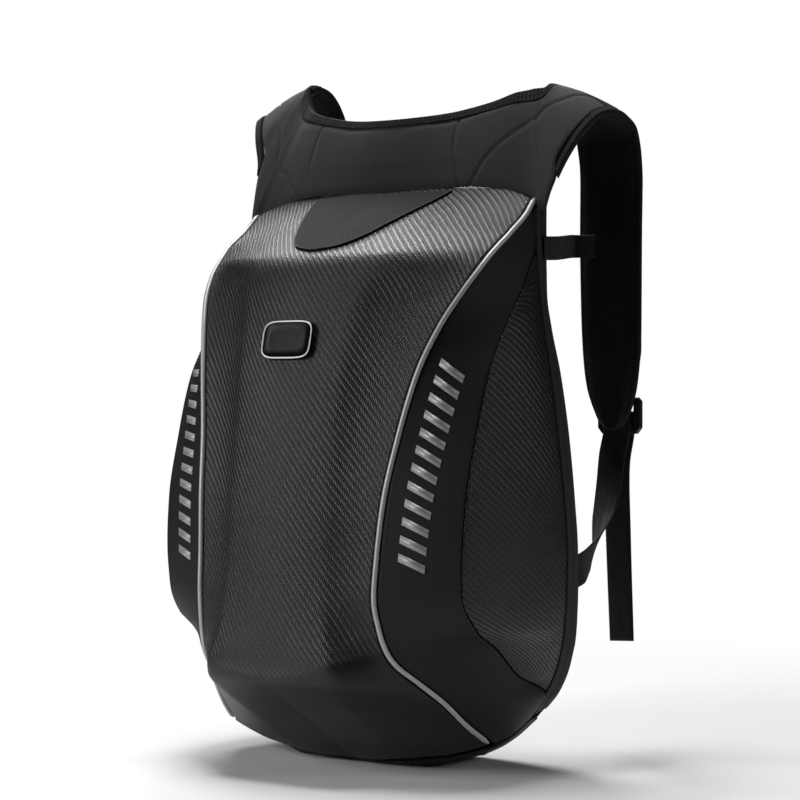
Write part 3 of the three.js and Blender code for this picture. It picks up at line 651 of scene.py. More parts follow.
# %% Reflective tape, moulded plastic and the gloss plate
def reflective_material(name, low, high):
    return grained_material(name, low, high, 0.44, 0.08, 2600.0, 0.00006, Metallic=0.35,
                            Specular_IOR_Level=0.5)


def moulded_material(name, value, roughness, fineness, depth, shine=0.5):
    return grained_material(name, value * 0.8, value * 1.3, roughness, 0.08, fineness, depth, "Cloud",
                            Specular_IOR_Level=shine)


silver_tape = reflective_material("silver_tape", 0.36, 0.50)
silver_print = reflective_material("silver_print", 0.30, 0.40)
moulded_black = moulded_material("moulded_black", 0.012, 0.42, 1200.0, 0.00012)
gloss_black = moulded_material("gloss_black", 0.001, 0.30, 300.0, 0.00001, 0.08)
light_rim = moulded_material("light_rim", 0.80, 0.30, 800.0, 0.00002)
print(len(bpy.data.materials), "materials")

# %% [markdown]
# ## The moulded shell
# The front is one thermoformed sheet: a raised centre panel, two facets, a deck that leans back and
# a smooth chin tucked underneath. It could be modelled by hand with subdivision, but its lines are
# known level by level, so the wall is laid on the table's surface with softened creases. The chin
# has no weave on the real bag, so a point attribute fades the weave out under the chin line.


# %% Front shell
def put(piece, slot_name, material, *nodes):
    piece.data.materials.clear()
    piece.data.materials.append(material)
    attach(piece, "root")
    if nodes:
        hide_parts(*nodes)
    return piece


chin_height = 79
chin_rise = 20
chin_half_width = 80
chin_blur = 5
shell_place = skin_place(edge_at("shell", -1), edge_at("shell"), lowest, deck_top, soft_skin)


def chin(s, t):
    p, _ = shell_place(s, t)
    line = chin_height + chin_rise * (np.abs(p[..., 0]) / chin_half_width) ** 2
    return smooth((line - p[..., 2] + chin_blur / 2) / chin_blur)


shell = thin_wall("moulded_shell", shell_place, 230, 141, shell_wall, 1.2, thread=(1.35, 1.72),
                  marks={"plain": chin})
put(shell, "carbon", carbon_film, "front_shell")
print("moulded shell:", len(shell.data.polygons), "faces")

# %% [markdown]
# ## Piping and the cloth sides
# Reflective piping is a cord wrapped in silver tape and caught in the seam beside the shell. A tube
# along the seam line is enough. The bands, side panels and the bound strip behind them are thin
# walls between their seams, each with a slightly rounded edge that reads as a turned hem.


# %% Tubes along a line
end_shrink = 0.45


def tube(name, path, radius, sides=14, thread_size=(1.0, 1.0)):
    path = np.asarray(path, float)
    tangent = unit(np.gradient(path, axis=0))
    first = unit(np.cross(np.array([1.0, 0.03, 0.02]), tangent))
    second = np.cross(tangent, first)
    angle = np.linspace(0, 2 * math.pi, sides, endpoint=False)
    ring = first[:, None] * np.cos(angle)[None, :, None] + second[:, None] * np.sin(angle)[None, :, None]
    shrink = np.ones(len(path))
    shrink[[0, -1]] = end_shrink
    points = path[:, None] + ring * (radius * shrink)[:, None, None]
    index = np.arange(len(path) * sides).reshape(len(path), sides)
    near, far = index[:-1], index[1:]
    quads = np.stack([near, np.roll(near, -1, 1), np.roll(far, -1, 1), far], -1).reshape(-1, 4).tolist()
    faces = quads + [index[0][::-1].tolist(), index[-1].tolist()]
    run = run_along(path)
    around = np.abs(angle - math.pi) * radius
    uv = np.stack(np.broadcast_arrays(around[None] / thread_size[0], run[:, None] / thread_size[1]), -1)
    return mesh_of(name, points.reshape(-1, 3), faces, uv.reshape(-1, 2))


lowest_piping = float(lowest(np.array([2.0]))[0]) + 1.5
piping_path = piping_line(np.linspace(lowest_piping, 0.966 * body_height, 160))
for side, sign in sides:
    piping = tube("silver_piping_" + side, piping_path * [sign, 1, 1], piping_radius)
    put(piping, "reflective", silver_tape, "piping_" + side)
print("piping length:", round(float(run_along(piping_path)[-1])), "mm")


# %% Bands, side panels and the bound edge
denser_below = 1.15


def side_wall(name, near, far, low_z, high_z, rows, cols, edge, material, slot_name, node, **more):
    for side, sign in sides:
        first, last = [edge_at(line, sign) for line in (near, far)[::sign]]
        place = skin_place(first, last, low_z, high_z, skin, denser_below)
        made = thin_wall(name + "_" + side, place, rows, cols, cloth_wall, edge, **more)
        put(made, slot_name, material, node + "_" + side)
    print(name, "faces each:", len(made.data.polygons))


top_of_band = lambda u: under_yoke + 0 * u
side_wall("cloth_band", "band_front", "band_back", lowest, top_of_band, 150, 40, 0.7,
          band_cloth, "band", "side_band")
side_wall("woven_side_panel", "panel_front", "panel_back", lambda u: panel_low + 0 * u,
          lambda u: panel_high + 0 * u, 150, 44, 0.8, carbon_film, "carbon", "side_panel",
          thread=(2.0, 1.5))
side_wall("bound_edge", "binding_front", "back", lowest, top_of_band, 170, 10, 0.8,
          edge_tape, "binding", "edge_binding", lift=0.6, thread=(1.7, 1.5))

# %% [markdown]
# ## Base, deck cloth and the ribbed insert
# The base is the same dense cloth as the bands. Behind the shell's upper edge a ribbed cloth closes
# the deck, and a ribbed insert shaped like a rounded arrow head lies on the deck in front of the
# collar, edged with a thin dark cord. Each is a small grid on its own rule.


# %% Base and deck cloth
base_share = 0.79
behind_shell = 1.5
deck_station = 1.55
deck_taper = 0.95
deck_rise = 2.2


def on_rule(rule):
    """A place for thin_wall, with its normal, from a rule that only gives points."""
    step = 0.01

    def place(s, t):
        across = rule(s, t + step) - rule(s, t - step)
        return rule(s, t), unit(np.cross(across, rule(s + step, t) - rule(s - step, t)))
    return place


@on_rule
def base_place(s, t):
    x0 = (2 * t - 1) * base_share * body_half_width
    front_y = back_y - under("frontY", np.abs(x0) / body_half_width) * body_depth + behind_shell
    y = mix(front_y, back_y - seat, 1 - s)
    x = x0 * (1 + 0.03 * np.sin(math.pi * (1 - s)) - 0.02 * (1 - s))
    return np.stack([x, y, underside_z(x, y)], -1)


base = thin_wall("cloth_base", base_place, 30, 90, thick=2.8, edge=0.7)
put(base, "band", band_cloth, "base_panel")


@on_rule
def deck_place(s, t):
    u = mix(-deck_station, deck_station, t)
    z = deck_top(u)
    edge = skin(u, z)
    rise = unit(edge - skin(u, z - 4))
    rear = np.stack([edge[..., 0] * deck_taper, back_y - seat + 0 * z, z + deck_rise], -1)
    return mix(edge + rise * 2 * seat, rear, s[..., None])


deck = thin_wall("deck_cloth", deck_place, 8, 80, thick=3.2, edge=0.5)
put(deck, "ribbed", insert_cloth, "top_panel")

insert_rows = [[0.877, 0.03], [0.883, 0.12], [0.897, 0.195], [0.920, 0.260], [0.950, 0.335], [0.970, 0.380],
               [0.984, 0.405]]
insert_tip, insert_end = insert_rows[0][0], insert_rows[-1][0]
insert_read = reader(["z", "half"], insert_rows)


def insert_place(s, t):
    z = body_height * mix(insert_tip, insert_end, s)
    want = (2 * t - 1) * insert_read("half", z / body_height) * body_half_width
    crease_x = level("creaseX", z / body_height) * body_half_width
    piping_x = level("pipingX", z / body_height) * body_half_width
    a = np.abs(want)
    u = np.sign(want) * np.where(a < crease_x, a / crease_x, 1 + (a - crease_x) / (piping_x - crease_x))
    n = normal_on(skin, u, z)
    return skin(u, z) + n * seat, n


insert = thin_wall("ribbed_insert", insert_place, 60, 70, thick=1.4, edge=0.5, lift=1.4)
put(insert, "ribbed", insert_cloth, "top_insert")
down = np.linspace(0.97, 0.0, 70)
tip = np.linspace(0, 1, 24)[1:-1]
rim_t = np.concatenate([0 * down, tip, 0 * down + 1])
rim_s = np.concatenate([down, 0 * tip, down[::-1]])
rim_p, rim_n = insert_place(rim_s, rim_t)
cord = tube("insert_edge", rim_p + rim_n * 1.1, radius=0.8, sides=8)
put(cord, "binding", seam_cord)
print("insert width at the collar:", round(2 * insert_rows[-1][1] * body_half_width), "mm")

# %% [markdown]
# ## The badge
# On the real bag a small plate sits in the middle of the shell. Here it is a bare gloss black plate
# with a light rim: a rounded outline, a slightly domed face and a raised line round it, all made
# from one outline rule so that rim and plate can't come apart.

# %% Badge plate and rim
badge_z = 0.724 * body_height
badge_spot = skin(0.0, badge_z)
badge_rise = unit(skin(0.0, badge_z + 14) - skin(0.0, badge_z - 14))
badge_out = np.array([0, -badge_rise[2], badge_rise[1]])
badge_half_width = 24
badge_half_height = 15.5
badge_squareness = 4.6
badge_sides = 96


def badge_ring(inset, lift):
    a = np.linspace(0, 2 * math.pi, badge_sides, endpoint=False)
    rounded = lambda wave: np.sign(wave) * np.abs(wave) ** (2 / badge_squareness)
    x = rounded(np.cos(a)) * (badge_half_width - inset)
    z = rounded(np.sin(a)) * (badge_half_height - inset)
    return badge_spot + badge_out * lift + x[:, None] * np.array([1.0, 0, 0]) + z[:, None] * badge_rise


profile = [(0.5, 0.6), (0, 1.0), (0, 2.6), (0.3, 3.0), (1.3, 3.1), (1.7, 2.8), (8, 2.95), (13, 3.0)]
points = np.concatenate([badge_ring(inset, lift) for inset, lift in profile])
numbers = np.arange(len(points)).reshape(len(profile), badge_sides)
faces = [tuple(face[[0, 3, 2, 1]]) for face in np.array(between(list(numbers)))]
faces += [tuple(numbers[-1]), tuple(numbers[0][::-1])]
badge = mesh_of("badge_plate", points, faces)
put(badge, "plate", gloss_black, "badge")
rim_path = badge_ring(1.0, 3.0)
rim = tube("badge_rim", np.concatenate([rim_path, rim_path[:2]]), radius=0.6, sides=8)
put(rim, "plate", light_rim)
print("badge leans back by", round(math.degrees(math.atan2(badge_rise[1], badge_rise[2]))), "degrees")

# %% [markdown]
# ## Collar and straps
# The collar and the straps are one continuous band on the real bag: it stands on the deck, rises over
# the shoulders and hangs down behind. A table of its two edges gives the shape. Foam pads swell
# between their seams, so each pad is an even grid, blown up a little as cloth under pressure, with
# the movement capped so that it stays where the measured model says.

# %% The strip that collar and straps are cut from
strip_read = reader(["run", "outerX", "outerY", "outerZ", "innerX", "innerY", "innerZ"], [
    [0.0, 0.000, -0.272, -0.030, 0.000, -0.239, 0.636],
    [1.0, 0.305, -0.261, -0.024, 0.287, -0.098, 0.682],
    [1.5, 0.445, -0.250, -0.020, 0.415, -0.048, 0.723],
    [2.0, 0.610, -0.217, -0.045, 0.524, -0.011, 0.770],
    [2.5, 0.762, -0.185, -0.140, 0.616, 0.043, 0.834],
    [2.8, 0.854, -0.223, -0.261, 0.671, 0.120, 0.881],
    [3.0, 0.890, -0.261, -0.295, 0.698, 0.163, 0.920],
    [3.3, 0.905, -0.196, -0.068, 0.720, 0.217, 0.966],
    [3.7, 0.927, -0.098, 0.193, 0.732, 0.261, 1.011],
    [4.1, 0.997, 0.022, 0.500, 0.735, 0.304, 1.034],
    [4.4, 1.061, 0.196, 0.705, 0.732, 0.370, 1.040],
    [4.7, 1.082, 0.359, 0.750, 0.726, 0.446, 1.034],
    [5.0, 1.082, 0.522, 0.744, 0.720, 0.543, 1.011],
    [5.4, 1.076, 0.685, 0.705, 0.713, 0.674, 0.920],
    [5.8, 1.070, 0.815, 0.625, 0.707, 0.783, 0.784],
    [6.2, 1.064, 0.902, 0.472, 0.701, 0.870, 0.602],
    [6.6, 1.061, 0.957, 0.273, 0.695, 0.935, 0.375],
    [7.0, 1.059, 0.989, 0.011, 0.689, 0.978, 0.091],
    [7.6, 1.057, 1.000, -0.443, 0.684, 0.995, -0.386],
    [8.6, 1.055, 1.000, -1.045, 0.689, 1.000, -1.045],
    [9.6, 1.052, 1.000, -1.500, 0.698, 1.000, -1.511],
    [10.0, 1.043, 0.995, -1.636, 0.710, 0.995, -1.670],
    [10.4, 1.027, 0.989, -1.830, 0.732, 0.989, -1.864],
    [10.7, 1.003, 0.984, -2.000, 0.768, 0.984, -2.045],
    [11.0, 0.966, 0.978, -2.159, 0.817, 0.978, -2.199],
    [11.2, 0.933, 0.978, -2.239, 0.866, 0.978, -2.261],
])
strip_end = 11.2
shoulder_seam = 4.7
arm_start = 3.6
arm_trim_width = 0.1
trim = 0.12
middle_round = 0.7
neck_swell = 3
shoulder_swell = 4
strap_swell = 2.5
edge_thinning = 0.45


def strip_point(run, v):
    run, v = np.broadcast_arrays(np.asarray(run, float), np.asarray(v, float))
    r = np.abs(run)
    side = np.where(run < 0, -1.0, 1.0)
    rounded = np.where(r < middle_round, (r * r + middle_round ** 2) / (2 * middle_round), r)

    def edge(name):
        x = strip_read(name + "X", r) * body_half_width
        y = back_y + strip_read(name + "Y", rounded) * strap_reach
        return np.stack([x, y, body_height + strip_read(name + "Z", rounded) * yoke_rise], -1)

    p = mix(edge("outer"), edge("inner"), v[..., None])
    swell = 4 * v * (1 - v)
    p[..., 1] -= neck_swell * swell * (1 - smooth((r - 3) / 1.5))
    p[..., 2] += shoulder_swell * swell * smooth((r - 3) / 1.5) * (1 - smooth(r - 6))
    p[..., 1] += strap_swell * swell * smooth(r - 6) * (1 - smooth(r - 9.6))
    high = smooth((r - 2.5) / 1.2) * (1 - smooth((r - 5.2) / 1.8))
    p[..., 2] -= side * high * shoulder_slant
    p[..., 0] *= side
    return p


def strip_normal(run, v):
    step = 0.12
    ahead = strip_point(np.minimum(run + step, strip_end), v)
    behind = strip_point(np.maximum(run - step, -strip_end), v)
    across = strip_point(run, np.clip(v + 0.08, 0, 1)) - strip_point(run, np.clip(v - 0.08, 0, 1))
    return unit(np.cross(ahead - behind, across))


def strip_layer(run, v, depth, proud=0.0):
    run, v = np.broadcast_arrays(np.asarray(run, float), np.asarray(v, float))
    taper = 1 - edge_thinning + edge_thinning * smooth(np.minimum(v, 1 - v) / 0.22)
    p = strip_point(run, v) + strip_normal(run, v) * (proud - depth * taper)[..., None]
    near_deck = (1 - smooth(v / 0.35)) * (1 - smooth((np.abs(run) - 2.2) / 0.8))
    p[..., 2] += near_deck * depth * 0.75
    return p


print("strap hangs at y", strip_point(8.0, 0.5).round(1)[1])


# %% Closed pads, and how they are blown up
round_share = 0.22
round_limit = 1.5


def settle(piece):
    graph = bpy.context.evaluated_depsgraph_get()
    solid = bpy.data.meshes.new_from_object(piece.evaluated_get(graph), depsgraph=graph)
    piece.modifiers.clear()
    piece.data = solid
    solid.polygons.foreach_set("use_smooth", [True] * len(solid.polygons))
    return piece


def closed_pad(name, outer, inner):
    rows, cols = outer.shape[:2]
    quads, border = grid_of(rows, cols)
    back = quads[:, [0, 3, 2, 1]] + rows * cols
    inside_row = np.clip(border // cols, 1, rows - 2)
    inside_col = np.clip(border % cols, 1, cols - 2)
    front, rear = outer.reshape(-1, 3), inner.reshape(-1, 3)
    away = unit(front[border] - outer[inside_row, inside_col])
    wall = np.linalg.norm(front - rear, axis=1)[border]
    middle = (front[border] + rear[border]) / 2 + away * np.minimum(wall * round_share, round_limit)[:, None]
    points = np.concatenate([front, rear, middle])
    edge = 2 * rows * cols + np.arange(len(border))
    faces = quads.tolist() + back.tolist() + between([border, edge, border + rows * cols])
    return mesh_of(name, points, faces)


def places(piece):
    flat = np.zeros(len(piece.data.vertices) * 3)
    piece.data.vertices.foreach_get("co", flat)
    return flat.reshape(-1, 3)


def set_places(piece, points):
    piece.data.vertices.foreach_set("co", points.ravel())
    piece.data.update()


def puff(piece, cap, pressure=4.0, frames=14):
    """Blows a closed pad up as cloth and lets no point move further than cap, in metres."""
    start = places(piece)
    moved = 0.0
    cloth = piece.modifiers.new("air", "CLOTH")
    cloth.settings.use_pressure = True
    cloth.settings.uniform_pressure_force = pressure
    cloth.settings.effector_weights.gravity = 0
    cloth.settings.quality = 4
    cloth.point_cache.frame_end = frames
    for number in range(1, frames + 1):
        bpy.context.scene.frame_set(number)
    settle(piece)
    move = places(piece) - start
    size = np.linalg.norm(move, axis=1, keepdims=True)
    move *= np.minimum(1, cap / np.maximum(size, 1e-9))
    moved = float(size.max())
    set_places(piece, start + move)
    bpy.context.scene.frame_set(1)
    fine = piece.modifiers.new("finer", "SUBSURF")
    fine.levels = fine.render_levels = 1
    settle(piece)
    print(piece.name, "vertices:", len(piece.data.vertices), "free movement:", round(moved * 1000, 1), "mm")
    return piece


def groove(piece, line, width, depth):
    """Pulls the surface in along a line of points, as a seam does in a foam pad."""
    line = in_metres(line)
    points = places(piece)
    normals = np.zeros(len(points) * 3)
    piece.data.vertices.foreach_get("normal", normals)
    near = np.full(len(points), 1e9)
    for start in range(0, len(line), 40):
        part = line[start:start + 40]
        near = np.minimum(near, np.linalg.norm(points[:, None] - part[None], axis=2).min(1))
    pull = np.clip(1 - (near / (width / 1000)) ** 2, 0, 1) ** 2 * depth / 1000
    set_places(piece, points - normals.reshape(-1, 3) * pull[:, None])


def arm_trim(run):
    return arm_trim_width * smooth((np.abs(run) - arm_start + 0.02) / 0.12)


# %% Collar pad with its seams
def strip_pad(name, run, v, outer_depth, inner_depth, cap):
    layers = [strip_layer(run, v, depth) for depth in (outer_depth, inner_depth)]
    return puff(closed_pad(name, *layers), cap)


def strip_line(runs, vs, count, lift=0.0, depth=0.0, flip=1.0):
    """Points and normals along a line on the strip that passes smoothly through the given places."""
    read = reader(["step", "run", "v"], list(zip(range(len(runs)), runs, vs)))
    t = np.linspace(0, len(runs) - 1, count)
    run, v = read("run", t), read("v", t)
    n = strip_normal(run, v) * flip
    return strip_layer(run, v, depth) + n * lift, n


runs = np.linspace(-shoulder_seam, shoulder_seam, 190)
under_deck = -0.05 * (1 - smooth((np.abs(runs) - 2.3) / 0.5))
collar_v = mix((1.14 * arm_trim(runs) + under_deck)[None], 1 - trim + 0.025, np.linspace(0, 1, 24)[:, None])
collar = strip_pad("collar_pad", runs, collar_v, 0.4, yoke_pad - 0.6, cap=0.0012)
seam_tables = [
    ([1.38, 1.30, 1.21, 1.22, 1.24], [-0.03, 0.25, 0.49, 0.70, 0.88]),
    ([1.56, 1.82, 2.11, 2.51, 2.94, 3.40, 3.80, 4.29, 4.66],
     [-0.03, 0.30, 0.48, 0.62, 0.74, 0.76, 0.70, 0.51, 0.38]),
    ([-1.60, -1.80, -1.88, -1.88, -1.87], [-0.03, 0.25, 0.43, 0.65, 0.88]),
    ([-1.95, -2.25, -2.60, -3.25, -4.16, -4.66], [-0.03, 0.20, 0.39, 0.52, 0.41, 0.34]),
]
collar_seams = [strip_line(run, v, 240) for run, v in seam_tables]
for line, _ in collar_seams:
    groove(collar, line, width=2.6, depth=1.1)
put(collar, "neoprene", neoprene, "yoke")


# %% Neck and armhole bindings
def strip_tape(name, low_run, high_run, from_v, to_v, thick, proud, rows, cols, edge):
    def place(s, t):
        run = mix(low_run, high_run, t)
        v = mix(from_v, to_v, s)
        return strip_layer(run, v, 0, proud), strip_normal(run, v)
    return thin_wall(name, place, rows, cols, thick, edge, thread=(1.6, 1.5))


neck = strip_tape("neck_tape", -shoulder_seam, shoulder_seam, 1 - trim + 0.01, 1.0, 5.6, 0.5, 12, 260, 1.6)
put(neck, "binding", ribbed_tape, "neck_binding")
for side, sign in sides:
    low, high = sorted((arm_start * sign, shoulder_seam * sign))
    arm = strip_tape("armhole_tape_" + side, low, high, 0.0, 0.088, 5.2, 0.3, 10, 60, 1.4)
    put(arm, "binding", ribbed_tape, "armhole_binding_" + side)
print("neck tape length:", round(float(lengths_along(strip_point(runs, 1.0)[None], 1)[0, -1])), "mm")

# %% Shoulder straps
strap_v = mix(0.01, 0.99, np.linspace(0, 1, 16)[:, None])
strap_seams_v = (0.09, 0.91)
for side, sign in sides:
    run = np.sort(np.linspace(shoulder_seam + 0.012, strip_end - 0.01, 130) * sign)
    strap = strip_pad("padded_strap_" + side, run, strap_v, 0.6, strap_pad - 0.8, cap=0.0014)
    edge_run = np.linspace(shoulder_seam + 0.1, 10.9, 260) * sign
    for v in strap_seams_v:
        for depth in (0, strap_pad):
            groove(strap, strip_layer(edge_run, v, depth), width=3.0, depth=0.7)
    put(strap, "padding", mesh_cloth, "shoulder_strap_" + side)


# %% Back panel
def back_layer(rear):
    r, c = np.meshgrid(np.linspace(0, 1, 90), np.linspace(0, 1, 60), indexing="ij")
    v = 1 - 2 * c
    z = body_height * (1.006 - 0.022 * v ** 4) * r
    x = v * level("backX", z / body_height) * body_half_width
    round_off = (1 - np.abs(v) ** 8) * (1 - np.abs(2 * r - 1) ** 14)
    y = back_y + seat + 0 * z + (back_pad * (0.4 + 0.6 * round_off) - 0.6 if rear else 0.3)
    return np.stack([x * 0.995, y, z * 0.996 + 0.6], -1)


back = puff(closed_pad("back_pad", back_layer(True), back_layer(False)), cap=0.001)
channel_x = 0.34
upright_z = np.linspace(0.16, 0.84, 200)
channels = [(k * channel_x * level("backX", upright_z), upright_z) for k in (-1, 1)]
for z in (0.30, 0.55, 0.78):
    channels.append((np.linspace(-channel_x, channel_x, 120) * float(level("backX", z)), np.full(120, z)))
for x, z in channels:
    line = np.stack([x * body_half_width, 0 * x + back_y + back_pad, z * body_height], -1)
    groove(back, line, width=7.0, depth=3.0)
put(back, "padding", mesh_cloth, "back_panel")

# %% [markdown]
# ## Webs and adjusters
# Woven nylon webs carry the load: a lifter from the upper side to the strap, a short loop that holds
# the adjuster, a lower web that turns a quarter on its way to the back corner, and the loose tail.
# A web is a flat ribbon that never stretches, so it is swept along a curve with its own width
# direction at each point, and its thread coordinates run along it.


# %% Sweep a flat web
def catmull(points, count):
    p = np.asarray(points, float)
    p = np.vstack([2 * p[0] - p[1], p, 2 * p[-1] - p[-2]])
    out = []
    for t in np.linspace(0, len(p) - 3, count):
        i = min(int(t), len(p) - 4)
        w = t - i
        a, b, c, d = p[i:i + 4]
        t0, t1, t2 = [max(np.linalg.norm(q) ** 0.5, 1e-4) for q in (b - a, c - b, d - c)]
        t0 = t1 if t0 < 2e-4 else t0
        t2 = t1 if t2 < 2e-4 else t2
        m1 = ((b - a) / t0 - (c - a) / (t0 + t1) + (c - b) / t1) * t1
        m2 = ((c - b) / t1 - (d - b) / (t1 + t2) + (d - c) / t2) * t1
        out.append((2 * w ** 3 - 3 * w * w + 1) * b + (w ** 3 - 2 * w * w + w) * m1
                   + (3 * w * w - 2 * w ** 3) * c + (w ** 3 - w * w) * m2)
    return np.array(out)


def web(name, points, widths, width, thick, count=120):
    path = catmull(points, count)
    turn = catmull(widths, count)
    tangent = unit(np.gradient(path, axis=0))
    turn = unit(turn - tangent * (turn * tangent).sum(-1, keepdims=True))
    normal = np.cross(tangent, turn)
    half_w, half_t = width / 2, thick / 2
    angles = np.radians([90, 45, 0, -45, -90])
    flat = np.linspace(half_w - half_t, -(half_w - half_t), 12)
    profile = [(half_w - half_t + half_t * math.cos(a), half_t * math.sin(a)) for a in angles]
    profile += [(x, -half_t) for x in flat[1:-1]]
    profile += [(-x, -y) for x, y in profile[:5]]
    profile += [(x, half_t) for x in flat[::-1][1:-1]]
    profile = np.array(profile)
    points = path[:, None] + turn[:, None] * profile[None, :, :1] + normal[:, None] * profile[None, :, 1:]
    n = len(profile)
    index = np.arange(count * n).reshape(count, n)
    quads = np.stack([index[:-1], index[1:], np.roll(index[1:], -1, 1), np.roll(index[:-1], -1, 1)], -1)
    faces = quads.reshape(-1, 4).tolist() + [index[0].tolist(), index[-1][::-1].tolist()]
    run = run_along(path)
    uv = np.stack(np.broadcast_arrays(profile[None, :, 0] / 1.5 + 20, run[:, None] / 2.2), -1)
    made = mesh_of(name, points.reshape(-1, 3), faces, uv.reshape(-1, 2))
    build = bmesh.new()
    build.from_mesh(made.data)
    bmesh.ops.recalc_face_normals(build, faces=build.faces)
    build.to_mesh(made.data)
    build.free()
    return made, run[-1]


tip_x = 0.9 * body_half_width
web_y = back_y + 0.98 * strap_reach
lock_y = web_y + 3.5
lock_z = body_height - 2.26 * yoke_rise + 12
beside = seat + web_thick / 2
lock_front = lock_y - beside
lock_rear = lock_y + 5 + beside
pad_face = back_y + seat + back_pad * 0.94 + beside
across = [1, 0, 0]
upright = [0, 0, 1]
lifter_z = 0.884 * body_height
edge_x = float(level("backX", 0.884)) * body_half_width
strap_inside = back_y + strap_reach - strap_pad
web_routes = {
    "adjuster_loop": ([[tip_x, web_y + 4.7, lock_z + 34], [tip_x, web_y + 4.2, lock_z + 26],
                       [tip_x, lock_front, lock_z + 16], [tip_x, lock_front, lock_z + 10]],
                      [across] * 4, web_width),
    "lower_webbing": ([[tip_x, lock_front, lock_z], [tip_x - 1, lock_front - 0.5, lock_z - 14],
                       [tip_x - 4, web_y, lock_z - 32], [tip_x - 5, web_y - 4, lock_z - 56],
                       [tip_x - 4, web_y - 14, lock_z - 80], [tip_x + 1, web_y - 32, lock_z - 100],
                       [tip_x + 6, web_y - 54, lock_z - 114], [tip_x + 7, pad_face + 10, lock_z - 122],
                       [tip_x + 1, pad_face + 1, lock_z - 126], [tip_x - 12, pad_face, lock_z - 128]],
                      [across, across, across, [1, -0.1, 0], [0.9, -0.2, 0.2], [0.6, -0.2, 0.8], [0.2, 0, 1],
                       upright, upright, upright], web_width),
    "webbing_tail": ([[tip_x, lock_rear, lock_z + 4], [tip_x - 1, lock_rear, lock_z - 14],
                      [tip_x - 4, lock_y + 4, lock_z - 40], [tip_x - 2, lock_y + 3, lock_z - 100],
                      [tip_x + 3, lock_y, lock_z - 186]],
                     [across, across, across, [0.99, -0.1, 0], [0.985, -0.17, 0]], web_width),
    "load_lifter": ([[edge_x + 2.4, back_y - 8, lifter_z], [edge_x + 2.6, back_y + 10, lifter_z + 1],
                     [edge_x - 4, back_y + 32, lifter_z + 3],
                     [0.74 * body_half_width, strap_inside - 20, lifter_z + 6],
                     [0.715 * body_half_width, strap_inside - 5, lifter_z + 7],
                     [0.76 * body_half_width, strap_inside - 1.4, lifter_z + 7],
                     [0.81 * body_half_width, strap_inside - 1.2, lifter_z + 7]],
                    [upright] * 7, lifter_width),
}
for node, (points, widths, width) in web_routes.items():
    for side, sign in sides:
        path, turn = np.array(points) * [sign, 1, 1], np.array(widths) * [sign, 1, 1]
        made, length = web("nylon_" + node + "_" + side, path, turn, width, web_thick)
        put(made, "webbing", nylon_web, node + "_" + side)
    print(node, "length", round(length), "mm")

# %% [markdown]
# ## Ladder locks
# The moulded adjusters have the right outline in the measured model. What a moulding also has is a
# rounded edge, so each lock is a copy of the measured mesh with a small bevel, in moulded plastic.

# %% Bevelled ladder locks
for side, sign in sides:
    lock = add_object("moulded_lock_" + side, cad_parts["ladder_lock_" + side].data.copy())
    bevel = lock.modifiers.new("soft_edge", "BEVEL")
    bevel.width = 0.0004
    bevel.segments = 2
    bevel.limit_method = "ANGLE"
    settle(lock)
    put(lock, "plastic", moulded_black, "ladder_lock_" + side)
print("lock faces:", len(lock.data.polygons))

# %% [markdown]
# ## What repeats: stitches, bartacks and reflective bars
# Thread, tacks and printed bars all repeat along a line, so one Geometry Nodes tree makes them. It
# turns a line of points into a curve, puts an evenly spaced copy at each step, turned to the line
# and to the surface's outward direction, and gives it one material. Placing each by hand would be
# slow, and an array can't follow a surface.


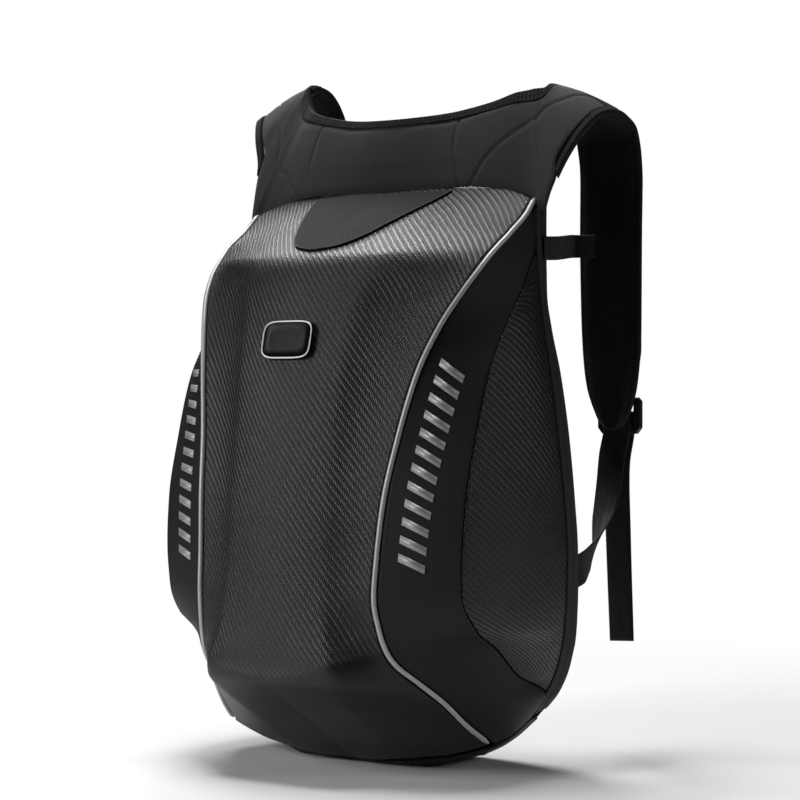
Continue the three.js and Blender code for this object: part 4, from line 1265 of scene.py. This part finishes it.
# %% The tree that sews along a line
def make_sewing_tree():
    tree = bpy.data.node_groups.new("sew_along_line", "GeometryNodeTree")
    face = tree.interface
    face.new_socket("Geometry", in_out="INPUT", socket_type="NodeSocketGeometry")
    for label, kind, value in (("Spacing", "NodeSocketFloat", 0.003), ("Length", "NodeSocketFloat", 0.002),
                               ("Width", "NodeSocketFloat", 0.0006), ("Height", "NodeSocketFloat", 0.0005),
                               ("Slant", "NodeSocketFloat", 0.0), ("Unevenness", "NodeSocketFloat", 0.1),
                               ("Flat Bar", "NodeSocketBool", False), ("Seed", "NodeSocketInt", 7)):
        face.new_socket(label, in_out="INPUT", socket_type=kind).default_value = value
    face.new_socket("Material", in_out="INPUT", socket_type="NodeSocketMaterial")
    face.new_socket("Geometry", in_out="OUTPUT", socket_type="NodeSocketGeometry")
    get = tree.nodes.new("NodeGroupInput").outputs
    curve = wire(tree, "GeometryNodeMeshToCurve", get["Geometry"]).outputs[0]
    even = wire(tree, "GeometryNodeResampleCurve", mode="LENGTH")
    plug(tree, even, Curve=curve, Length=get["Spacing"])
    tangent = wire(tree, "GeometryNodeInputTangent").outputs[0]
    outward = wire(tree, "GeometryNodeInputNamedAttribute", "out", data_type="FLOAT_VECTOR").outputs[0]
    turn = wire(tree, "FunctionNodeAxesToRotation", tangent, outward, primary_axis="X", secondary_axis="Z")
    stitch = wire(tree, "GeometryNodeMeshUVSphere", 6, 4, 0.5).outputs[0]
    block = wire(tree, "GeometryNodeMeshCube", (1.0, 1.0, 1.0), 2, 2, 2).outputs[0]
    choice = wire(tree, "GeometryNodeSwitch", get["Flat Bar"], stitch, block, input_type="GEOMETRY")
    sizes = wire(tree, "ShaderNodeCombineXYZ", get["Length"], get["Width"], get["Height"])
    shaped = wire(tree, "GeometryNodeTransform")
    plug(tree, shaped, Geometry=choice.outputs[0], Scale=sizes.outputs[0])
    where = wire(tree, "ShaderNodeSeparateXYZ", wire(tree, "GeometryNodeInputPosition").outputs[0])
    offset = wire(tree, "ShaderNodeCombineXYZ", maths(tree, "MULTIPLY", where.outputs[1], get["Slant"]))
    slanted = wire(tree, "GeometryNodeSetPosition")
    plug(tree, slanted, Geometry=shaped.outputs[0], Offset=offset.outputs[0])
    smallest = maths(tree, "SUBTRACT", 1.0, get["Unevenness"])
    vary = wire(tree, "FunctionNodeRandomValue", None, None, smallest, 1.0, data_type="FLOAT")
    plug(tree, vary, Seed=get["Seed"])
    copies = wire(tree, "GeometryNodeInstanceOnPoints")
    plug(tree, copies, Points=even.outputs[0], Instance=slanted.outputs[0], Rotation=turn.outputs[0],
         Scale=vary.outputs[1])
    real = wire(tree, "GeometryNodeRealizeInstances", copies.outputs[0])
    painted = plug(tree, wire(tree, "GeometryNodeSetMaterial", real.outputs[0]), Material=get["Material"])
    tree.links.new(painted.outputs[0], tree.nodes.new("NodeGroupOutput").inputs[0])
    return tree


sewing_tree = make_sewing_tree()


def sewn(name, lines, slot_name, material, **inputs):
    points = np.concatenate([p for p, _ in lines])
    outward = np.concatenate([n for _, n in lines])
    joins = []
    start = 0
    for p, _ in lines:
        joins += [(start + k, start + k + 1) for k in range(len(p) - 1)]
        start += len(p)
    data = bpy.data.meshes.new(name)
    data.from_pydata(in_metres(points).tolist(), joins, [])
    data.attributes.new("out", "FLOAT_VECTOR", "POINT").data.foreach_set("vector", outward.ravel())
    made = add_object(name, data)
    modifier = made.modifiers.new("sewing", "NODES")
    modifier.node_group = sewing_tree
    inputs["Material"] = material
    for item in sewing_tree.interface.items_tree:
        key = item.name.replace(" ", "_")
        if item.in_out == "INPUT" and key in inputs:
            modifier[item.identifier] = inputs[key]
    settle(made)
    put(made, slot_name, material)
    print(name, "faces:", len(made.data.polygons))
    return made


print("tree inputs:", [item.name for item in sewing_tree.interface.items_tree if item.in_out == "INPUT"])


# %% Stitches on the collar and the sack
def skin_line(u, z, lift):
    u = np.broadcast_to(np.asarray(u, float), np.shape(z)).copy()
    n = normal_on(skin, u, z)
    return skin(u, z) + n * lift, n


row_end = 4.66
arm_row_start = 3.65
thin_thread = {"Width": 0.0005, "Height": 0.0004}
neck_rows = [strip_line([-row_end, row_end], [v, v], 400, 0.6) for v in (0.905, 0.945, 0.983)]
arm_rows = []
for v in (0.02, 0.07):
    for k in (1, -1):
        arm_rows.append(strip_line([arm_row_start * k, row_end * k], [v, v], 200, 0.4))
hem_row = [strip_line([-3.0, 3.0], [0.045, 0.045], 300, 0.9)]
faint_row = [strip_line([-1.42, 1.42], [0.36, 0.36], 200, 0.7)]
in_seams = [(line - n * 0.35, n) for line, n in collar_seams]
sewn("tape_stitches", neck_rows + arm_rows, "binding", thread, Spacing=0.0026, Length=0.0018, **thin_thread)
sewn("collar_stitches", hem_row + faint_row + in_seams, "neoprene", thread, Spacing=0.0028, Length=0.0019,
     **thin_thread)
z = np.linspace(30, 430, 300)
side_rows = []
for sign in (1, -1):
    side_rows.append(skin_line(sign * (edge_at("band_back")(z) - 0.05), z, 0.15))
    side_rows.append(skin_line(sign * (edge_at("band_front")(z) + 0.05), z, 0.15))
    side_rows.append(skin_line(sign * 4.5, z, 0.75))
sewn("side_stitches", side_rows, "band", thread, Spacing=0.0030, Length=0.0021, **thin_thread)

# %% Stitches and tacks of the straps
strap_faces = ((0.0, 1.0), (strap_pad, -1.0))
strap_rows = []
tack_rows = []
for k in (1, -1):
    for v in strap_seams_v:
        for depth, flip in strap_faces:
            strap_rows.append(strip_line([4.85 * k, 10.9 * k], [v, v], 420, 0.25, depth, flip))
    for run in (7.35, 9.05):
        for v in 0.36 + 0.055 * np.arange(6):
            across_run = [run * k, (run + 0.12) * k]
            for depth, flip in reversed(strap_faces):
                tack_rows.append(strip_line(across_run, [v, v + 0.01], 12, 0.7, depth, flip))
sewn("strap_stitches", strap_rows, "padding", thread, Spacing=0.0032, Length=0.0022, **thin_thread)
sewn("strap_tacks", tack_rows, "padding", thread, Spacing=0.0016, Length=0.0015, Width=0.0007, Height=0.0006)

# %% Reflective bars on the bands
bar_rows = []
for sign in (1, -1):
    z = np.linspace(168, 312, 60)
    bar_rows.append(skin_line(sign * np.linspace(2.42, 2.47, 60), z, 0.2))
sewn("reflective_bars", bar_rows, "reflective", silver_print, Spacing=0.013, Length=0.0062, Width=0.021,
     Height=0.0004, Slant=0.35, Unevenness=0.0, Flat_Bar=True)

# %% [markdown]
# ## Floor, light and camera
# The bag stands on a plain pale floor that fades into a white surround. A soft light on the left and
# one behind it draw the highlights on the centre panel and the deck, and a wide one overhead keeps
# the floor pale. Only a weak light reaches the right side, so that it stays almost black.


# %% Floor
def make_floor():
    bpy.ops.mesh.primitive_circle_add(vertices=96, radius=3.2, fill_type="NGON", location=(0, 0, -0.0004))
    floor = bpy.context.object
    floor.name = "pale_floor"
    made, tree, shader = new_material("pale_floor", Roughness=0.75, Specular_IOR_Level=0.2)
    place = place_of(tree)
    grain = use_group(tree, cloth_grain, Place=place, Fineness=60.0)
    pale = ramp(tree, grain.outputs["Cloud"], (0.86, 0.86, 0.86), (0.88, 0.88, 0.88))
    far = wire(tree, "ShaderNodeVectorMath", place, operation="LENGTH").outputs["Value"]
    fade = wire(tree, "ShaderNodeMapRange", far, 0.35, 1.0, 1.0, 0.0, interpolation_type="SMOOTHSTEP")
    plug(tree, shader, Base_Color=pale, Alpha=fade.outputs[0])
    floor.data.materials.append(made)
    return floor


make_floor()
world = bpy.data.worlds.new("white_room")
bpy.context.scene.world = world
world.use_nodes = True
tree = world.node_tree
seen = wire(tree, "ShaderNodeLightPath").outputs["Is Camera Ray"]
plug(tree, tree.nodes["Background"], Color=(1, 1, 1, 1), Strength=span(tree, seen, 0.012, 1.0))
print("the room gives little light of its own and looks white")


# %% Soft lights
def soft_light(name, place, aim, size, power):
    data = bpy.data.lights.new(name, "AREA")
    data.shape = "RECTANGLE"
    data.size, data.size_y = size
    data.energy = power
    lamp = add_object(name, data)
    lamp.location = place
    lamp.rotation_euler = (Vector(aim) - Vector(place)).to_track_quat("-Z", "Y").to_euler()


soft_light("key_left", (-0.80, -1.45, 0.75), aim=(0, -0.1, 0.25), size=(0.5, 0.9), power=16)
soft_light("top_left", (-0.95, 0.75, 1.65), aim=(0, 0, 0.35), size=(0.7, 0.7), power=17)
soft_light("floor_wash", (-0.25, 0.1, 2.6), aim=(0.0, 0.0, 0), size=(0.9, 0.9), power=44)
soft_light("side_edge", (1.9, 0.75, 0.9), aim=(0.1, 0, 0.2), size=(0.4, 0.9), power=6)
print(len(bpy.data.lights), "lights")

# %% Camera
camera_data = bpy.data.cameras.new("photo_camera")
camera_data.sensor_width = 36
camera_data.lens = 100.35
camera = add_object("photo_camera", camera_data)
camera.location = (1.0566, -1.4741, 0.290)
camera.rotation_euler = (math.radians(90), 0, math.radians(35))
bpy.context.scene.camera = camera
bpy.context.scene.view_settings.view_transform = "Standard"
print("camera at", tuple(round(v, 3) for v in camera.location))
